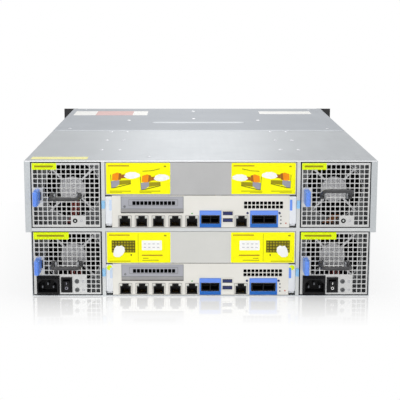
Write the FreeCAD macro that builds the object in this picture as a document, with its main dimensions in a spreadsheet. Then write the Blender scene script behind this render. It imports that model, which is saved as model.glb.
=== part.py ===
import FreeCAD, Part
import math
import os
import re

import Sketcher

os.makedirs("parts", exist_ok=True)
doc = FreeCAD.newDocument("barebone_server")

# Driving dimensions: millimetres, degrees and counts
SIZES = {
    # Chassis shell
    "upper_width": 447.0,
    "lower_width": 433.5,
    "chassis_height": 176.0,
    "chassis_depth": 650.0,
    "ledge_height": 84.0,
    "wall_sheet": 1.2,
    "cover_sheet": 1.2,
    "rear_cover_length": 314.0,
    "cover_seam": 0.6,
    "bead_length": 150.0,
    "bead_width": 6.0,
    "bead_sink": 0.5,
    "bead_from_rear": 426.0,
    # Rack ears
    "ear_reach": 17.8,
    "ear_plate": 2.0,
    "ear_leg": 40.0,
    "ear_leg_margin": 5.0,
    "rack_slot_inset": 8.75,
    "rack_hole_rise": 101.6,
    "rack_slot_length": 10.3,
    "rack_slot_radius": 3.4,
    "pull_height": 66.0,
    "pull_reach": 34.0,
    "pull_bar": 9.0,
    "button_radius": 3.5,
    "button_gap": 0.3,
    "button_drop": 16.0,
    "button_inset": 11.8,
    "button_proud": 1.2,
    "button_length": 5.0,
    "button_wall": 1.5,
    "button_floor": 1.0,
    # Bay frame
    "center_bay_width": 243.2,
    "divider_width": 4.6,
    "frame_sheet": 1.0,
    "shelf_thickness": 4.6,
    "catch_width": 4.2,
    "catch_proud": 3.0,
    "catch_height": 10.0,
    "catch_rise": 25.0,
    # Modules in their bays
    "module_clearance": 0.5,
    "module_sheet": 1.0,
    "face_sheet": 1.2,
    "face_setback": 0.4,
    "fan_module_depth": 190.0,
    "psu_depth": 330.0,
    # Grilles
    "hole_pitch": 6.0,
    "hole_width": 4.6,
    "grille_margin": 2.0,
    "band_rows": 4,
    "fan_label_columns": 5,
    "psu_label_columns": 7,
    "latch_columns": 2,
    "corner_columns": 3,
    "lamp_first_column": 8,
    "guard_sheet": 0.8,
    "guard_margin": 0.4,
    # Fans
    "fan_slack": 0.5,
    "fan_rim": 2.0,
    "fan_depth": 38.0,
    "fan_setback": 46.0,
    "round_sides": 16,
    "strut_width": 4.0,
    "strut_depth": 4.0,
    "strut_bite": 1.0,
    "motor_base": 8.0,
    "hub_diameter": 36.0,
    "hub_length": 25.0,
    "hub_gap": 0.4,
    "blade_count": 7,
    "blade_thickness": 1.6,
    "blade_axial": 20.0,
    "blade_sweep": 17.0,
    "blade_bow": 26.0,
    "blade_chords": 3,
    "blade_root": 1.0,
    "blade_tip_gap": 1.5,
    "shaft_radius": 2.0,
    "shaft_length": 9.0,
    "running_clearance": 0.06,
    # Bail handles
    "bail_width": 40.0,
    "bail_reach": 30.0,
    "bail_bar": 5.0,
    "bail_leg": 4.4,
    "bail_thickness": 5.0,
    "bail_corner": 4.0,
    "bail_eye_bevel": 1.4,
    "bail_gap": 0.3,
    "bail_ear": 2.4,
    "bail_ear_height": 8.0,
    "pivot_height": 41.5,
    "pivot_out": 4.5,
    "pin_radius": 1.5,
    "pin_sides": 8,
    "bail_lift": 2.0,
    "bail_raise": 23.0,
    # Module latches
    "latch_offset": 4.4,
    "latch_width": 6.2,
    "latch_height": 18.0,
    "latch_rise": 31.4,
    "latch_proud": 25.0,
    "latch_travel": 3.0,
    "latch_stem": 3.6,
    "latch_stem_height": 10.0,
    "latch_foot_height": 16.0,
    "latch_bevel": 1.6,
    "latch_gap": 0.3,
    # Power inlet and switch
    "inlet_offset": 19.0,
    "inlet_rise": 13.4,
    "inlet_flange_width": 29.4,
    "inlet_flange_height": 24.4,
    "inlet_flange": 2.0,
    "inlet_outer_width": 27.4,
    "inlet_outer_height": 19.6,
    "inlet_proud": 8.0,
    "inlet_depth": 16.0,
    "inlet_cavity_width": 24.2,
    "inlet_cavity_height": 16.4,
    "inlet_cavity_depth": 17.0,
    "inlet_corner": 5.0,
    "inlet_pin_pitch": 7.0,
    "inlet_pin_width": 2.0,
    "inlet_pin_height": 4.0,
    "inlet_pin_length": 12.0,
    "inlet_pin_stagger": 2.0,
    "root_bite": 0.5,
    "switch_offset": 42.7,
    "switch_rise": 13.4,
    "switch_width": 14.4,
    "switch_height": 20.0,
    "switch_rim": 2.0,
    "switch_depth": 14.0,
    "switch_wall": 1.4,
    "rocker_gap": 0.3,
    "rocker_tilt": 8.0,
    "rocker_proud": 2.4,
    "rocker_dip": 2.0,
    "rocker_draft": 0.4,
    "rocker_keel": 4.5,
    "rocker_pin": 1.0,
    # Controllers
    "controller_height": 41.4,
    "controller_depth": 400.0,
    "panel_sheet": 1.2,
    "blank_depth": 22.0,
    "blank_gap": 0.6,
    "recess_width": 8.2,
    "recess_depth": 13.0,
    "lever_width": 7.2,
    "lever_skin": 2.4,
    "lever_setback": 0.3,
    "lever_pivot_in": 6.0,
    "lever_pivot_rise": 6.5,
    "lever_top": 40.2,
    "lever_foot": 5.6,
    "lever_lip": 6.5,
    "lever_lip_sheet": 2.0,
    "lever_heel": 0.5,
    "lever_side_gap": 0.4,
    # Ports, measured from the middle of the controller
    "port_clearance": 0.15,
    "port_wall": 0.8,
    "port_proud": 0.6,
    "port_depth": 20.5,
    "jack_width": 16.0,
    "jack_height": 13.6,
    "jack_rise": 1.5,
    "jack_opening": 11.8,
    "jack_opening_height": 8.6,
    "jack_notch": 6.2,
    "jack_notch_height": 3.2,
    "jack_cavity": 13.0,
    "jack_first": -96.7,
    "jack_pitch": 21.4,
    "jack_count": 5,
    "management_jack": 51.8,
    "usb_center": 34.4,
    "usb_width": 14.6,
    "usb_height": 16.4,
    "usb_rise": 5.9,
    "usb_slot_width": 12.6,
    "usb_slot_height": 5.0,
    "usb_slot_pitch": 8.8,
    "usb_tongue": 1.8,
    "usb_tongue_width": 11.2,
    "usb_tongue_setback": 0.6,
    "usb_cavity": 11.0,
    "sas_center": 12.3,
    "sas_width": 23.6,
    "sas_opening": 10.6,
    "sfp_center": 80.6,
    "sfp_width": 31.6,
    "sfp_opening": 13.8,
    "cage_rise": 5.2,
    "cage_height": 11.0,
    "cage_opening_height": 8.8,
    "cage_web": 0.5,
    "cage_cavity": 16.0,
    "bezel_margin": 2.0,
    "bezel_rise": 0.4,
    "bezel_height": 21.6,
    "bezel_sheet": 1.4,
    "window_left": -101.8,
    "window_right": -21.8,
    "window_low": 19.3,
    "window_high": 40.2,
    "bracket_sheet": 0.9,
    "bracket_lap": 1.2,
    "bracket_hole_radius": 1.9,
    "bracket_hole_pitch": 5.02,
    "bracket_holes": 11,
    "bracket_hole_rise": 31.4,
    "bracket_hole_first": -85.0,
    "vent_first": 57.0,
    "vent_pitch": 5.05,
    "vent_columns": 10,
    "vent_rise": 26.6,
    "vent_width": 3.6,
    # Mainboard
    "board_thickness": 1.6,
    "board_standoff": 3.0,
    "board_margin": 8.0,
    "board_end": 12.0,
    "socket_size": 62.0,
    "socket_height": 6.0,
    "socket_frame": 7.0,
    "socket_from_rear": 190.0,
    "dimm_length": 133.0,
    "dimm_width": 6.6,
    "dimm_height": 9.0,
    "dimm_pitch": 9.4,
    "dimm_count": 8,
    "dimm_margin": 3.0,
    "post_size": 8.0,
    "post_span": 192.0,
    "post_first": 64.0,
    "post_run": 280.0,
    "riser_height": 30.0,
    "riser_sheet": 2.0,
    "riser_start": 30.0,
    "riser_end": 110.0,
    "sink_size": 44.0,
    "sink_base": 9.0,
    "sink_right": 70.0,
    "sink_from_rear": 142.0,
    "fin_sheet": 2.0,
    "fin_height": 12.0,
    "fin_pitch": 5.25,
    "fin_count": 9,
    "plug_width": 75.0,
    "plug_length": 20.0,
    "plug_height": 13.0,
    "plug_gap": 40.0,
    # Drive cage, trays and midplane
    "cage_depth": 215.0,
    "cage_setback": 3.0,
    "cage_wall": 1.2,
    "cage_gap": 0.4,
    "tray_columns": 4,
    "tray_rows": 6,
    "tray_clearance": 0.5,
    "tray_length": 195.0,
    "tray_bezel": 14.0,
    "tray_proud": 2.0,
    "tray_wall": 2.0,
    "tray_rail_inset": 1.0,
    "tray_floor_rise": 1.5,
    "tray_top_drop": 2.0,
    "tray_lever_proud": 4.5,
    "tray_lever_height": 15.0,
    "tray_lever_bevel": 2.2,
    "tray_lever_left": 15.0,
    "tray_lever_right": 6.0,
    "midplane_sheet": 3.0,
    "midplane_margin": 10.0,
    "midplane_edge": 2.0,
    "midplane_slot": 18.0,
    "midplane_slot_offset": 36.0,
    "midplane_slot_margin": 12.0,
    "connector_width": 42.0,
    "connector_height": 6.0,
    "connector_rise": 6.0,
    "connector_reach": 9.0,
}

sheet = doc.addObject("Spreadsheet::Sheet", "Sizes")
for row, (alias, size) in enumerate(SIZES.items(), start=1):
    sheet.set(f"A{row}", alias)
    sheet.set(f"B{row}", str(size))
    sheet.setAlias(f"B{row}", alias)
doc.recompute()

nodes = []


# Sums over the sheet
def bind(text):
    return re.sub(r"\b[a-z][a-z_]+\b(?!\()", lambda word: "Sizes." + word.group(), text)


def number(text):
    return float(sheet.evalExpression(bind(text)))


def bind_all(thing, texts):
    for name, text in texts.items():
        thing.setExpression(name, bind(text))


# Outlines: a list of corners is a polygon, a triple is a circle
def rect(left, low, right, high):
    return [(left, low), (right, low), (right, high), (left, high)]


def facets(x, y, radius, sides, hole=False):
    count = int(number(sides))
    reach = f"({radius}) / {math.cos(math.pi / count):.6f}" if hole else f"({radius})"
    turns = [2 * math.pi * (i + 0.5) / count for i in range(count)]
    return [(f"{x} + {reach} * ({math.cos(turn):.6f})", f"{y} + {reach} * ({math.sin(turn):.6f})")
            for turn in turns]


def pin_outline(x, y, radius):
    return facets(x, y, radius, "pin_sides")


def bore_outline(x, y, radius):
    return facets(x, y, f"{radius} + running_clearance", "pin_sides", hole=True)


def fix(sketch, constraint, text):
    index = sketch.addConstraint(constraint)
    sketch.setExpression(f"Constraints[{index}]", bind(text))


def draw_polygon(sketch, corners):
    points = [FreeCAD.Vector(number(x), number(y), 0) for x, y in corners]
    first = sketch.GeometryCount
    count = len(points)
    for i in range(count):
        sketch.addGeometry(Part.LineSegment(points[i], points[(i + 1) % count]))
    for i in range(count):
        after = first + (i + 1) % count
        sketch.addConstraint(Sketcher.Constraint("Coincident", first + i, 2, after, 1))
    for i, (x, y) in enumerate(corners):
        fix(sketch, Sketcher.Constraint("DistanceX", first + i, 1, points[i].x), x)
        fix(sketch, Sketcher.Constraint("DistanceY", first + i, 1, points[i].y), y)


def draw_circle(sketch, x, y, radius):
    middle = FreeCAD.Vector(number(x), number(y), 0)
    disc = sketch.addGeometry(Part.Circle(middle, FreeCAD.Vector(0, 0, 1), number(radius)))
    fix(sketch, Sketcher.Constraint("DistanceX", disc, 3, middle.x), x)
    fix(sketch, Sketcher.Constraint("DistanceY", disc, 3, middle.y), y)
    fix(sketch, Sketcher.Constraint("Radius", disc, number(radius)), radius)


# Bodies and their features; every length runs along the plane's plus axis
def origin_of(body, role):
    return next(item for item in body.Origin.OriginFeatures if item.Role == role)


def new_body(label):
    body = doc.addObject("PartDesign::Body", label)
    body.Label = label
    return body


def sketch_on(body, plane, at, turn=0):
    sketch = body.newObject("Sketcher::SketchObject", body.Name + "_sketch")
    sketch.AttachmentSupport = [(origin_of(body, plane + "_Plane"), "")]
    sketch.MapMode = "FlatFace"
    turned = FreeCAD.Rotation(FreeCAD.Vector(0, 0, 1), turn)
    sketch.AttachmentOffset = FreeCAD.Placement(FreeCAD.Vector(), turned)
    sign = "-" if plane == "XZ" else ""
    sketch.setExpression("AttachmentOffset.Base.z", bind(f"{sign}({at})"))
    return sketch


def extrude(body, kind, plane, at, length, outlines, turn):
    sketch = sketch_on(body, plane, at, turn)
    for outline in outlines:
        if isinstance(outline, tuple):
            draw_circle(sketch, *outline)
        else:
            draw_polygon(sketch, outline)
    feature = body.newObject("PartDesign::" + kind, body.Name + "_" + kind.lower())
    feature.Profile = sketch
    feature.setExpression("Length", bind(length))
    feature.Reversed = (plane == "XZ") == (kind == "Pad")
    body.Tip = feature
    return feature


def add(body, plane, at, length, *outlines, turn=0):
    return extrude(body, "Pad", plane, at, length, outlines, turn)


def cut(body, plane, at, length, *outlines, turn=0):
    return extrude(body, "Pocket", plane, at, length, outlines, turn)


def repeat(body, features, axis, pitch, count, axis_two=None, pitch_two="", count_two=""):
    pattern = body.newObject("PartDesign::LinearPattern", body.Name + "_row")
    pattern.Originals = features
    pattern.Direction = (origin_of(body, axis + "_Axis"), [""])
    bind_all(pattern, {"Length": f"({pitch}) * (({count}) - 1)", "Occurrences": count})
    if axis_two:
        pattern.Direction2 = (origin_of(body, axis_two + "_Axis"), [""])
        bind_all(pattern, {"Length2": f"({pitch_two}) * (({count_two}) - 1)"})
        bind_all(pattern, {"Occurrences2": count_two})
    body.Tip = pattern


def repeat_round(body, features, axis, count):
    pattern = body.newObject("PartDesign::PolarPattern", body.Name + "_ring")
    pattern.Originals = features
    pattern.Axis = (origin_of(body, axis + "_Axis"), [""])
    pattern.Angle = 360
    pattern.setExpression("Occurrences", bind(count))
    body.Tip = pattern


def mirror(body, features, plane="YZ"):
    pattern = body.newObject("PartDesign::Mirrored", body.Name + "_mirror")
    pattern.Originals = features
    pattern.MirrorPlane = (origin_of(body, plane + "_Plane"), [""])
    body.Tip = pattern


def bevel_edges(body, size, test):
    doc.recompute()
    base = body.Tip
    names = []
    for i, edge in enumerate(base.Shape.Edges, start=1):
        straight = isinstance(edge.Curve, Part.Line)
        if straight and test(edge.CenterOfMass, edge.Curve.Direction):
            names.append(f"Edge{i}")
    bevel = body.newObject("PartDesign::Chamfer", body.Name + "_bevel")
    bevel.Base = (base, names)
    bevel.setExpression("Size", bind(size))
    body.Tip = bevel


def place(thing, x, y, z):
    bind_all(thing, {"Placement.Base.x": x, "Placement.Base.y": y, "Placement.Base.z": z})


def node(thing):
    nodes.append(thing)
    return thing


def group(label, shapes):
    thing = doc.addObject("Part::Feature", label)
    thing.Label = label
    thing.Shape = Part.makeCompound(shapes)
    return node(thing)


def box_between(low, high):
    corner = FreeCAD.Vector(*[number(text) for text in low])
    far = FreeCAD.Vector(*[number(text) for text in high])
    size = far - corner
    return Part.makeBox(size.x, size.y, size.z, corner)


# Shared places
REAR = "(-chassis_depth / 2)"
FRONT = "(chassis_depth / 2)"
FACE = f"({REAR} + face_setback)"
INNER_HALF = "(lower_width / 2 - wall_sheet)"
COVER_LOW = "(chassis_height - cover_sheet)"
SHELF_LOW = "(ledge_height + wall_sheet)"
SHELF_TOP = f"({SHELF_LOW} + shelf_thickness)"
BAY_HALF = "(center_bay_width / 2)"
CAGE_FRONT = f"({FRONT} - cage_setback)"
CAGE_REAR = f"({FRONT} - cage_depth)"
BAY_END = f"({CAGE_REAR} - midplane_sheet)"
MODULE_WIDTH = f"({INNER_HALF} - {BAY_HALF} - divider_width - 2 * module_clearance)"
FAN_HEIGHT = f"({COVER_LOW} - {SHELF_TOP} - 2 * module_clearance)"
PSU_HEIGHT = f"({SHELF_LOW} - wall_sheet - 2 * module_clearance)"
FAN_SIZE = f"(min({MODULE_WIDTH}; {FAN_HEIGHT}; {PSU_HEIGHT}) - 2 * (module_sheet + fan_slack))"
FAN_BORE = f"({FAN_SIZE} / 2 - fan_rim)"
EAR_EDGE = "(upper_width / 2 + ear_reach)"
RACK_SLOT = f"({EAR_EDGE} - rack_slot_inset)"
BUTTON_X = f"({EAR_EDGE} - button_inset)"
BUTTON_Z = "(chassis_height - button_drop)"
SIDE_LEFT = {
    "left": f"(module_clearance - {INNER_HALF})",
    "right": f"({BAY_HALF} + divider_width + module_clearance)",
}
ROW_FLOOR = {
    "lower": "(wall_sheet + module_clearance)",
    "upper": f"({SHELF_TOP} + module_clearance)",
}
ROW_TOP = {
    "lower": f"({SHELF_LOW} - module_clearance)",
    "upper": f"({COVER_LOW} - module_clearance)",
}


# Chassis shell
def make_tub():
    body = new_body("chassis_tub")
    outside = [
        (INNER_HALF + " + wall_sheet", "0"),
        (INNER_HALF + " + wall_sheet", "ledge_height"),
        ("upper_width / 2", "ledge_height"),
        ("upper_width / 2", COVER_LOW),
    ]
    inside = [
        ("upper_width / 2 - wall_sheet", COVER_LOW),
        ("upper_width / 2 - wall_sheet", SHELF_LOW),
        (INNER_HALF, SHELF_LOW),
        (INNER_HALF, "wall_sheet"),
    ]
    right = outside + inside
    left = [(f"-({x})", z) for x, z in reversed(right)]
    add(body, "XZ", REAR, "chassis_depth - ear_plate", right + left)
    flange = rect(INNER_HALF, "ledge_height", "upper_width / 2", COVER_LOW)
    flange_pad = add(body, "XZ", REAR, "wall_sheet", flange)
    mirror(body, [flange_pad])
    return node(body)


def make_rear_cover():
    box = doc.addObject("Part::Box", "top_cover_rear")
    bind_all(box, {"Length": "upper_width", "Width": "rear_cover_length", "Height": "cover_sheet"})
    place(box, "-upper_width / 2", REAR, COVER_LOW)
    return node(box)


def make_front_cover():
    body = new_body("top_cover_front")
    start = f"{REAR} + rear_cover_length + cover_seam"
    end = f"{FRONT} - ear_plate - cover_seam"
    add(body, "XY", COVER_LOW, "cover_sheet",
        rect("-upper_width / 2", start, "upper_width / 2", end))
    middle = f"{REAR} + bead_from_rear"
    bead = rect("-bead_length / 2", f"{middle} - bead_width / 2",
                "bead_length / 2", f"{middle} + bead_width / 2")
    cut(body, "XY", "chassis_height - bead_sink", "bead_sink", bead)
    return node(body)


def make_ear(side, sign):
    body = new_body("rack_ear_" + side)

    def across(text):
        return f"{sign} * ({text})"

    plate_back = f"{FRONT} - ear_plate"
    add(body, "XZ", plate_back, "ear_plate",
        rect(across(INNER_HALF + " + wall_sheet"), "0", across(EAR_EDGE), "chassis_height"))
    leg_low = f"{SHELF_TOP} + ear_leg_margin"
    leg_high = f"{COVER_LOW} - ear_leg_margin"
    add(body, "XZ", f"{FRONT} - ear_leg", "ear_leg",
        rect(across("upper_width / 2"), leg_low, across("upper_width / 2 + ear_plate"), leg_high))
    half = "(rack_slot_length / 2 - rack_slot_radius)"
    low = "(chassis_height - rack_hole_rise) / 2"
    slot = cut(body, "XZ", plate_back, "ear_plate",
               rect(across(f"{RACK_SLOT} - {half}"), f"{low} - rack_slot_radius",
                    across(f"{RACK_SLOT} + {half}"), f"{low} + rack_slot_radius"))
    ends = [cut(body, "XZ", plate_back, "ear_plate",
                (across(f"{RACK_SLOT} {way} {half}"), low, "rack_slot_radius")) for way in "+-"]
    repeat(body, [slot] + ends, "Z", "rack_hole_rise", "2")
    pull_low = "(chassis_height - pull_height) / 2"
    pull_high = "(chassis_height + pull_height) / 2"
    grip = [
        (FRONT, pull_low),
        (f"{FRONT} + pull_reach - pull_bar / 2", pull_low),
        (f"{FRONT} + pull_reach", f"{pull_low} + pull_bar / 2"),
        (f"{FRONT} + pull_reach", f"{pull_high} - pull_bar / 2"),
        (f"{FRONT} + pull_reach - pull_bar / 2", pull_high),
        (FRONT, pull_high),
        (FRONT, f"{pull_high} - pull_bar"),
        (f"{FRONT} + pull_reach - pull_bar", f"{pull_high} - pull_bar"),
        (f"{FRONT} + pull_reach - pull_bar", f"{pull_low} + pull_bar"),
        (FRONT, f"{pull_low} + pull_bar"),
    ]
    add(body, "YZ", f"{across(RACK_SLOT)} - pull_bar / 2", "pull_bar", grip)
    if side == "right":
        boss = "(button_radius + button_gap + button_wall)"
        add(body, "XZ", f"{plate_back} - button_length", "button_length",
            rect(f"{BUTTON_X} - {boss}", f"{BUTTON_Z} - {boss}",
                 f"{BUTTON_X} + {boss}", f"{BUTTON_Z} + {boss}"))
        cut(body, "XZ", f"{plate_back} - button_length + button_floor",
            "button_length + ear_plate - button_floor",
            facets(BUTTON_X, BUTTON_Z, "button_radius + button_gap", "round_sides", hole=True))
    return node(body)


def make_button():
    body = new_body("power_button")
    add(body, "XZ", "0", "button_length", facets("0", "0", "button_radius", "round_sides"))
    place(body, BUTTON_X, f"{FRONT} + button_proud - button_length", BUTTON_Z)
    return node(body)


# Bay frame: hollow dividers and a hollow shelf
def make_bay_frame():
    body = new_body("bay_frame")
    outer = f"({BAY_HALF} + divider_width)"
    divider = [
        (BAY_HALF, REAR),
        (outer, REAR),
        (outer, BAY_END),
        (f"{outer} - frame_sheet", BAY_END),
        (f"{outer} - frame_sheet", f"{REAR} + frame_sheet"),
        (f"{BAY_HALF} + frame_sheet", f"{REAR} + frame_sheet"),
        (f"{BAY_HALF} + frame_sheet", BAY_END),
        (BAY_HALF, BAY_END),
    ]
    mirrored = [(f"-({x})", y) for x, y in reversed(divider)]
    shelf = [
        (REAR, SHELF_LOW),
        (BAY_END, SHELF_LOW),
        (BAY_END, f"{SHELF_LOW} + frame_sheet"),
        (f"{REAR} + frame_sheet", f"{SHELF_LOW} + frame_sheet"),
        (f"{REAR} + frame_sheet", f"{SHELF_TOP} - frame_sheet"),
        (BAY_END, f"{SHELF_TOP} - frame_sheet"),
        (BAY_END, SHELF_TOP),
        (REAR, SHELF_TOP),
    ]
    add(body, "YZ", f"-{INNER_HALF}", f"2 * {INNER_HALF}", shelf)
    add(body, "XY", "wall_sheet", f"{COVER_LOW} - wall_sheet", divider)
    add(body, "XY", "wall_sheet", f"{COVER_LOW} - wall_sheet", mirrored)
    seat = rect(INNER_HALF, f"{REAR} + wall_sheet", "upper_width / 2 - wall_sheet", BAY_END)
    seat_pad = add(body, "XY", SHELF_LOW, "frame_sheet", seat)
    mirror(body, [seat_pad])
    return node(body)


def make_catches():
    shapes = []
    for sign in (-1, 1):
        for row in ROW_FLOOR:
            middle = f"{sign} * ({BAY_HALF} + divider_width / 2)"
            low = f"{ROW_FLOOR[row]} + catch_rise"
            shapes.append(box_between(
                (f"{middle} - catch_width / 2", f"{REAR} - catch_proud", low),
                (f"{middle} + catch_width / 2", REAR, f"{low} + catch_height")))
    return group("lever_catches", shapes)


def make_blank(row):
    body = new_body("blank_panel_" + row)
    half = f"({BAY_HALF} - module_clearance)"
    low = f"({ROW_FLOOR[row]} + controller_height + blank_gap)"
    high = ROW_TOP[row]
    add(body, "XZ", FACE, "blank_depth", rect(f"-{half}", low, half, high))
    cut(body, "XZ", f"{FACE} + face_sheet", "blank_depth - face_sheet",
        rect(f"module_sheet - {half}", f"{low} + module_sheet",
             f"{half} - module_sheet", f"{high} - module_sheet"))
    return node(body)


# Grille places, measured from a module's own lower left corner
def count_along(length):
    return f"(floor(({length} - 2 * grille_margin - hole_width) / hole_pitch) + 1)"


COLUMNS = count_along(MODULE_WIDTH)
LAST = f"{COLUMNS} - 1"


def column(index):
    return f"(({MODULE_WIDTH} - ({LAST}) * hole_pitch - hole_width) / 2 + ({index}) * hole_pitch)"


def row_low(height, index):
    last = f"({count_along(height)} - 1)"
    return f"(({height} - {last} * hole_pitch - hole_width) / 2 + ({index}) * hole_pitch)"


def slot(height, row_index, first, last):
    low = row_low(height, row_index)
    return rect(column(first), low, f"{column(last)} + hole_width", f"{low} + hole_width")


def cut_grille(body, height, label_columns):
    whole = cut(body, "XZ", "0", "face_sheet", slot(height, "2 * band_rows", "0", LAST))
    rows = count_along(height)
    repeat(body, [whole], "Z", "hole_pitch", f"{rows} - 2 * band_rows - 1")
    beside_latch = cut(body, "XZ", "0", "face_sheet", slot(height, "band_rows", "latch_columns", LAST))
    repeat(body, [beside_latch], "Z", "hole_pitch", "band_rows")
    cut(body, "XZ", "0", "face_sheet", slot(height, f"{rows} - 1", label_columns, LAST))
    corner = cut(body, "XZ", "0", "face_sheet",
                 slot(height, "0", f"{COLUMNS} - corner_columns", LAST))
    repeat(body, [corner], "Z", "hole_pitch", "band_rows")


LATCH_MIDDLE = "(latch_rise + latch_height / 2)"


def module_face(label, height):
    body = new_body(label + "_face")
    add(body, "XZ", "0", "face_sheet", rect("0", "0", MODULE_WIDTH, height))
    ear_start = f"{MODULE_WIDTH} / 2 - bail_width / 2 + bail_leg + bail_gap"
    ear = add(body, "YZ", ear_start, "bail_ear",
              rect("-pivot_out - bail_ear_height / 2", "pivot_height - bail_ear_height / 2",
                   "face_sheet", "pivot_height + bail_ear_height / 2"))
    ear_pitch = "bail_width - 2 * bail_leg - 2 * bail_gap - bail_ear"
    repeat(body, [ear], "X", ear_pitch, "2")
    cut(body, "YZ", "0", MODULE_WIDTH, bore_outline("-pivot_out", "pivot_height", "pin_radius"))
    stem_left = "latch_offset + (latch_width - latch_stem) / 2"
    cut(body, "XZ", "0", "face_sheet",
        rect(f"{stem_left} - latch_gap", f"{LATCH_MIDDLE} - latch_stem_height / 2 - latch_gap",
             f"{stem_left} + latch_stem + latch_travel + latch_gap",
             f"{LATCH_MIDDLE} + latch_stem_height / 2 + latch_gap"))
    return body


# The sheet tube behind a module's face, with the plate that carries its fan
def module_tube(label, height, depth):
    left, low = "module_sheet", "module_sheet"
    right, high = f"{MODULE_WIDTH} - module_sheet", f"{height} - module_sheet"
    plate = new_body(label + "_partition")
    add(plate, "XZ", "fan_setback", "module_sheet", rect(left, low, right, high),
        facets(f"{MODULE_WIDTH} / 2", f"{height} / 2", FAN_BORE, "round_sides", hole=True))
    doc.recompute()
    return [
        plate.Shape.copy(),
        box_between(("0", "face_sheet", "0"), (left, depth, height)),
        box_between((right, "face_sheet", "0"), (MODULE_WIDTH, depth, height)),
        box_between((left, "face_sheet", "0"), (right, depth, low)),
        box_between((left, "face_sheet", high), (right, depth, height)),
    ]


def make_housing(label, side, row, face, sheets):
    doc.recompute()
    housing = group(label, [face.Shape.copy()] + sheets)
    place(housing, SIDE_LEFT[side], FACE, ROW_FLOOR[row])
    return housing


def place_module(body, side, row):
    place(body, SIDE_LEFT[side], FACE, ROW_FLOOR[row])
    return node(body)


def make_fan_housing(side):
    label = "fan_housing_" + side
    body = module_face(label, FAN_HEIGHT)
    cut_grille(body, FAN_HEIGHT, "fan_label_columns")
    upper = cut(body, "XZ", "0", "face_sheet",
                slot(FAN_HEIGHT, "band_rows / 2", "0", f"{COLUMNS} - corner_columns"))
    lower = cut(body, "XZ", "0", "face_sheet", slot(FAN_HEIGHT, "0", "0", "lamp_first_column - 1"))
    repeat(body, [upper, lower], "Z", "hole_pitch", "band_rows / 2")
    return make_housing(label, side, "upper", body, module_tube(label, FAN_HEIGHT, "fan_module_depth"))


def make_psu_housing(side):
    label = "psu_housing_" + side
    body = module_face(label, PSU_HEIGHT)
    cut_grille(body, PSU_HEIGHT, "psu_label_columns")
    for name in ("inlet", "switch"):
        wide = "inlet_outer_width" if name == "inlet" else "switch_width - 2 * switch_wall"
        high = "inlet_outer_height" if name == "inlet" else "switch_height - 2 * switch_wall"
        half_x = f"(({wide}) / 2 + port_clearance)"
        half_z = f"(({high}) / 2 + port_clearance)"
        cut(body, "XZ", "0", "face_sheet",
            rect(f"{name}_offset - {half_x}", f"{name}_rise - {half_z}",
                 f"{name}_offset + {half_x}", f"{name}_rise + {half_z}"))
    back = box_between(("module_sheet", "psu_depth - module_sheet", "module_sheet"),
                       (f"{MODULE_WIDTH} - module_sheet", "psu_depth", f"{PSU_HEIGHT} - module_sheet"))
    sheets = module_tube(label, PSU_HEIGHT, "psu_depth") + [back]
    return make_housing(label, side, "lower", body, sheets)


def make_guard(label, side, row, height):
    body = new_body(label)
    edge = "(module_sheet + guard_margin)"
    add(body, "XZ", "face_sheet", "guard_sheet",
        rect(edge, edge, f"{MODULE_WIDTH} - {edge}", f"{height} - {edge}"))
    bar = cut(body, "XZ", "face_sheet", "guard_sheet",
              rect(column("0"), row_low(height, "0"),
                   f"{column('0')} + hole_width", f"{row_low(height, count_along(height) + ' - 1')} + hole_width"))
    repeat(body, [bar], "X", "hole_pitch", COLUMNS)
    web = "(hole_pitch - hole_width)"
    latch_right = f"{column('latch_columns')} - {web} / 2"
    if row == "upper":
        cut(body, "XZ", "face_sheet", "guard_sheet",
            rect("0", f"{row_low(height, 'band_rows')} - {web} / 2", latch_right,
                 f"{row_low(height, '2 * band_rows')} - {web} / 2"))
    else:
        clear_right = f"{column(COLUMNS + ' - corner_columns')} - {web} / 2"
        clear_top = f"{row_low(height, 'band_rows')} - {web} / 2"
        cut(body, "XZ", "face_sheet", "guard_sheet",
            [("0", "0"), (clear_right, "0"), (clear_right, clear_top), (latch_right, clear_top),
             (latch_right, f"{row_low(height, '2 * band_rows')} - {web} / 2"),
             ("0", f"{row_low(height, '2 * band_rows')} - {web} / 2")])
    return place_module(body, side, row)


# Fans
def fan_place(body, side, row, height):
    place(body, f"{SIDE_LEFT[side]} + {MODULE_WIDTH} / 2", f"{FACE} + fan_setback + module_sheet",
          f"{ROW_FLOOR[row]} + {height} / 2")
    return node(body)


def make_fan_frame(label, side, row, height):
    body = new_body(label)
    half = f"{FAN_SIZE} / 2"
    add(body, "XZ", "0", "fan_depth",
        rect(f"-{half}", f"-{half}", half, half), facets("0", "0", FAN_BORE, "round_sides", hole=True))
    add(body, "XZ", "0", "motor_base", facets("0", "0", "hub_diameter / 2", "round_sides"))
    strut = add(body, "XZ", "0", "strut_depth",
                rect("hub_diameter / 2 - strut_bite", "-strut_width / 2",
                     f"{FAN_BORE} + strut_bite", "strut_width / 2"), turn=45)
    repeat_round(body, [strut], "Y", "4")
    add(body, "XZ", "motor_base", "shaft_length", pin_outline("0", "0", "shaft_radius"))
    return fan_place(body, side, row, height)


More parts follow.
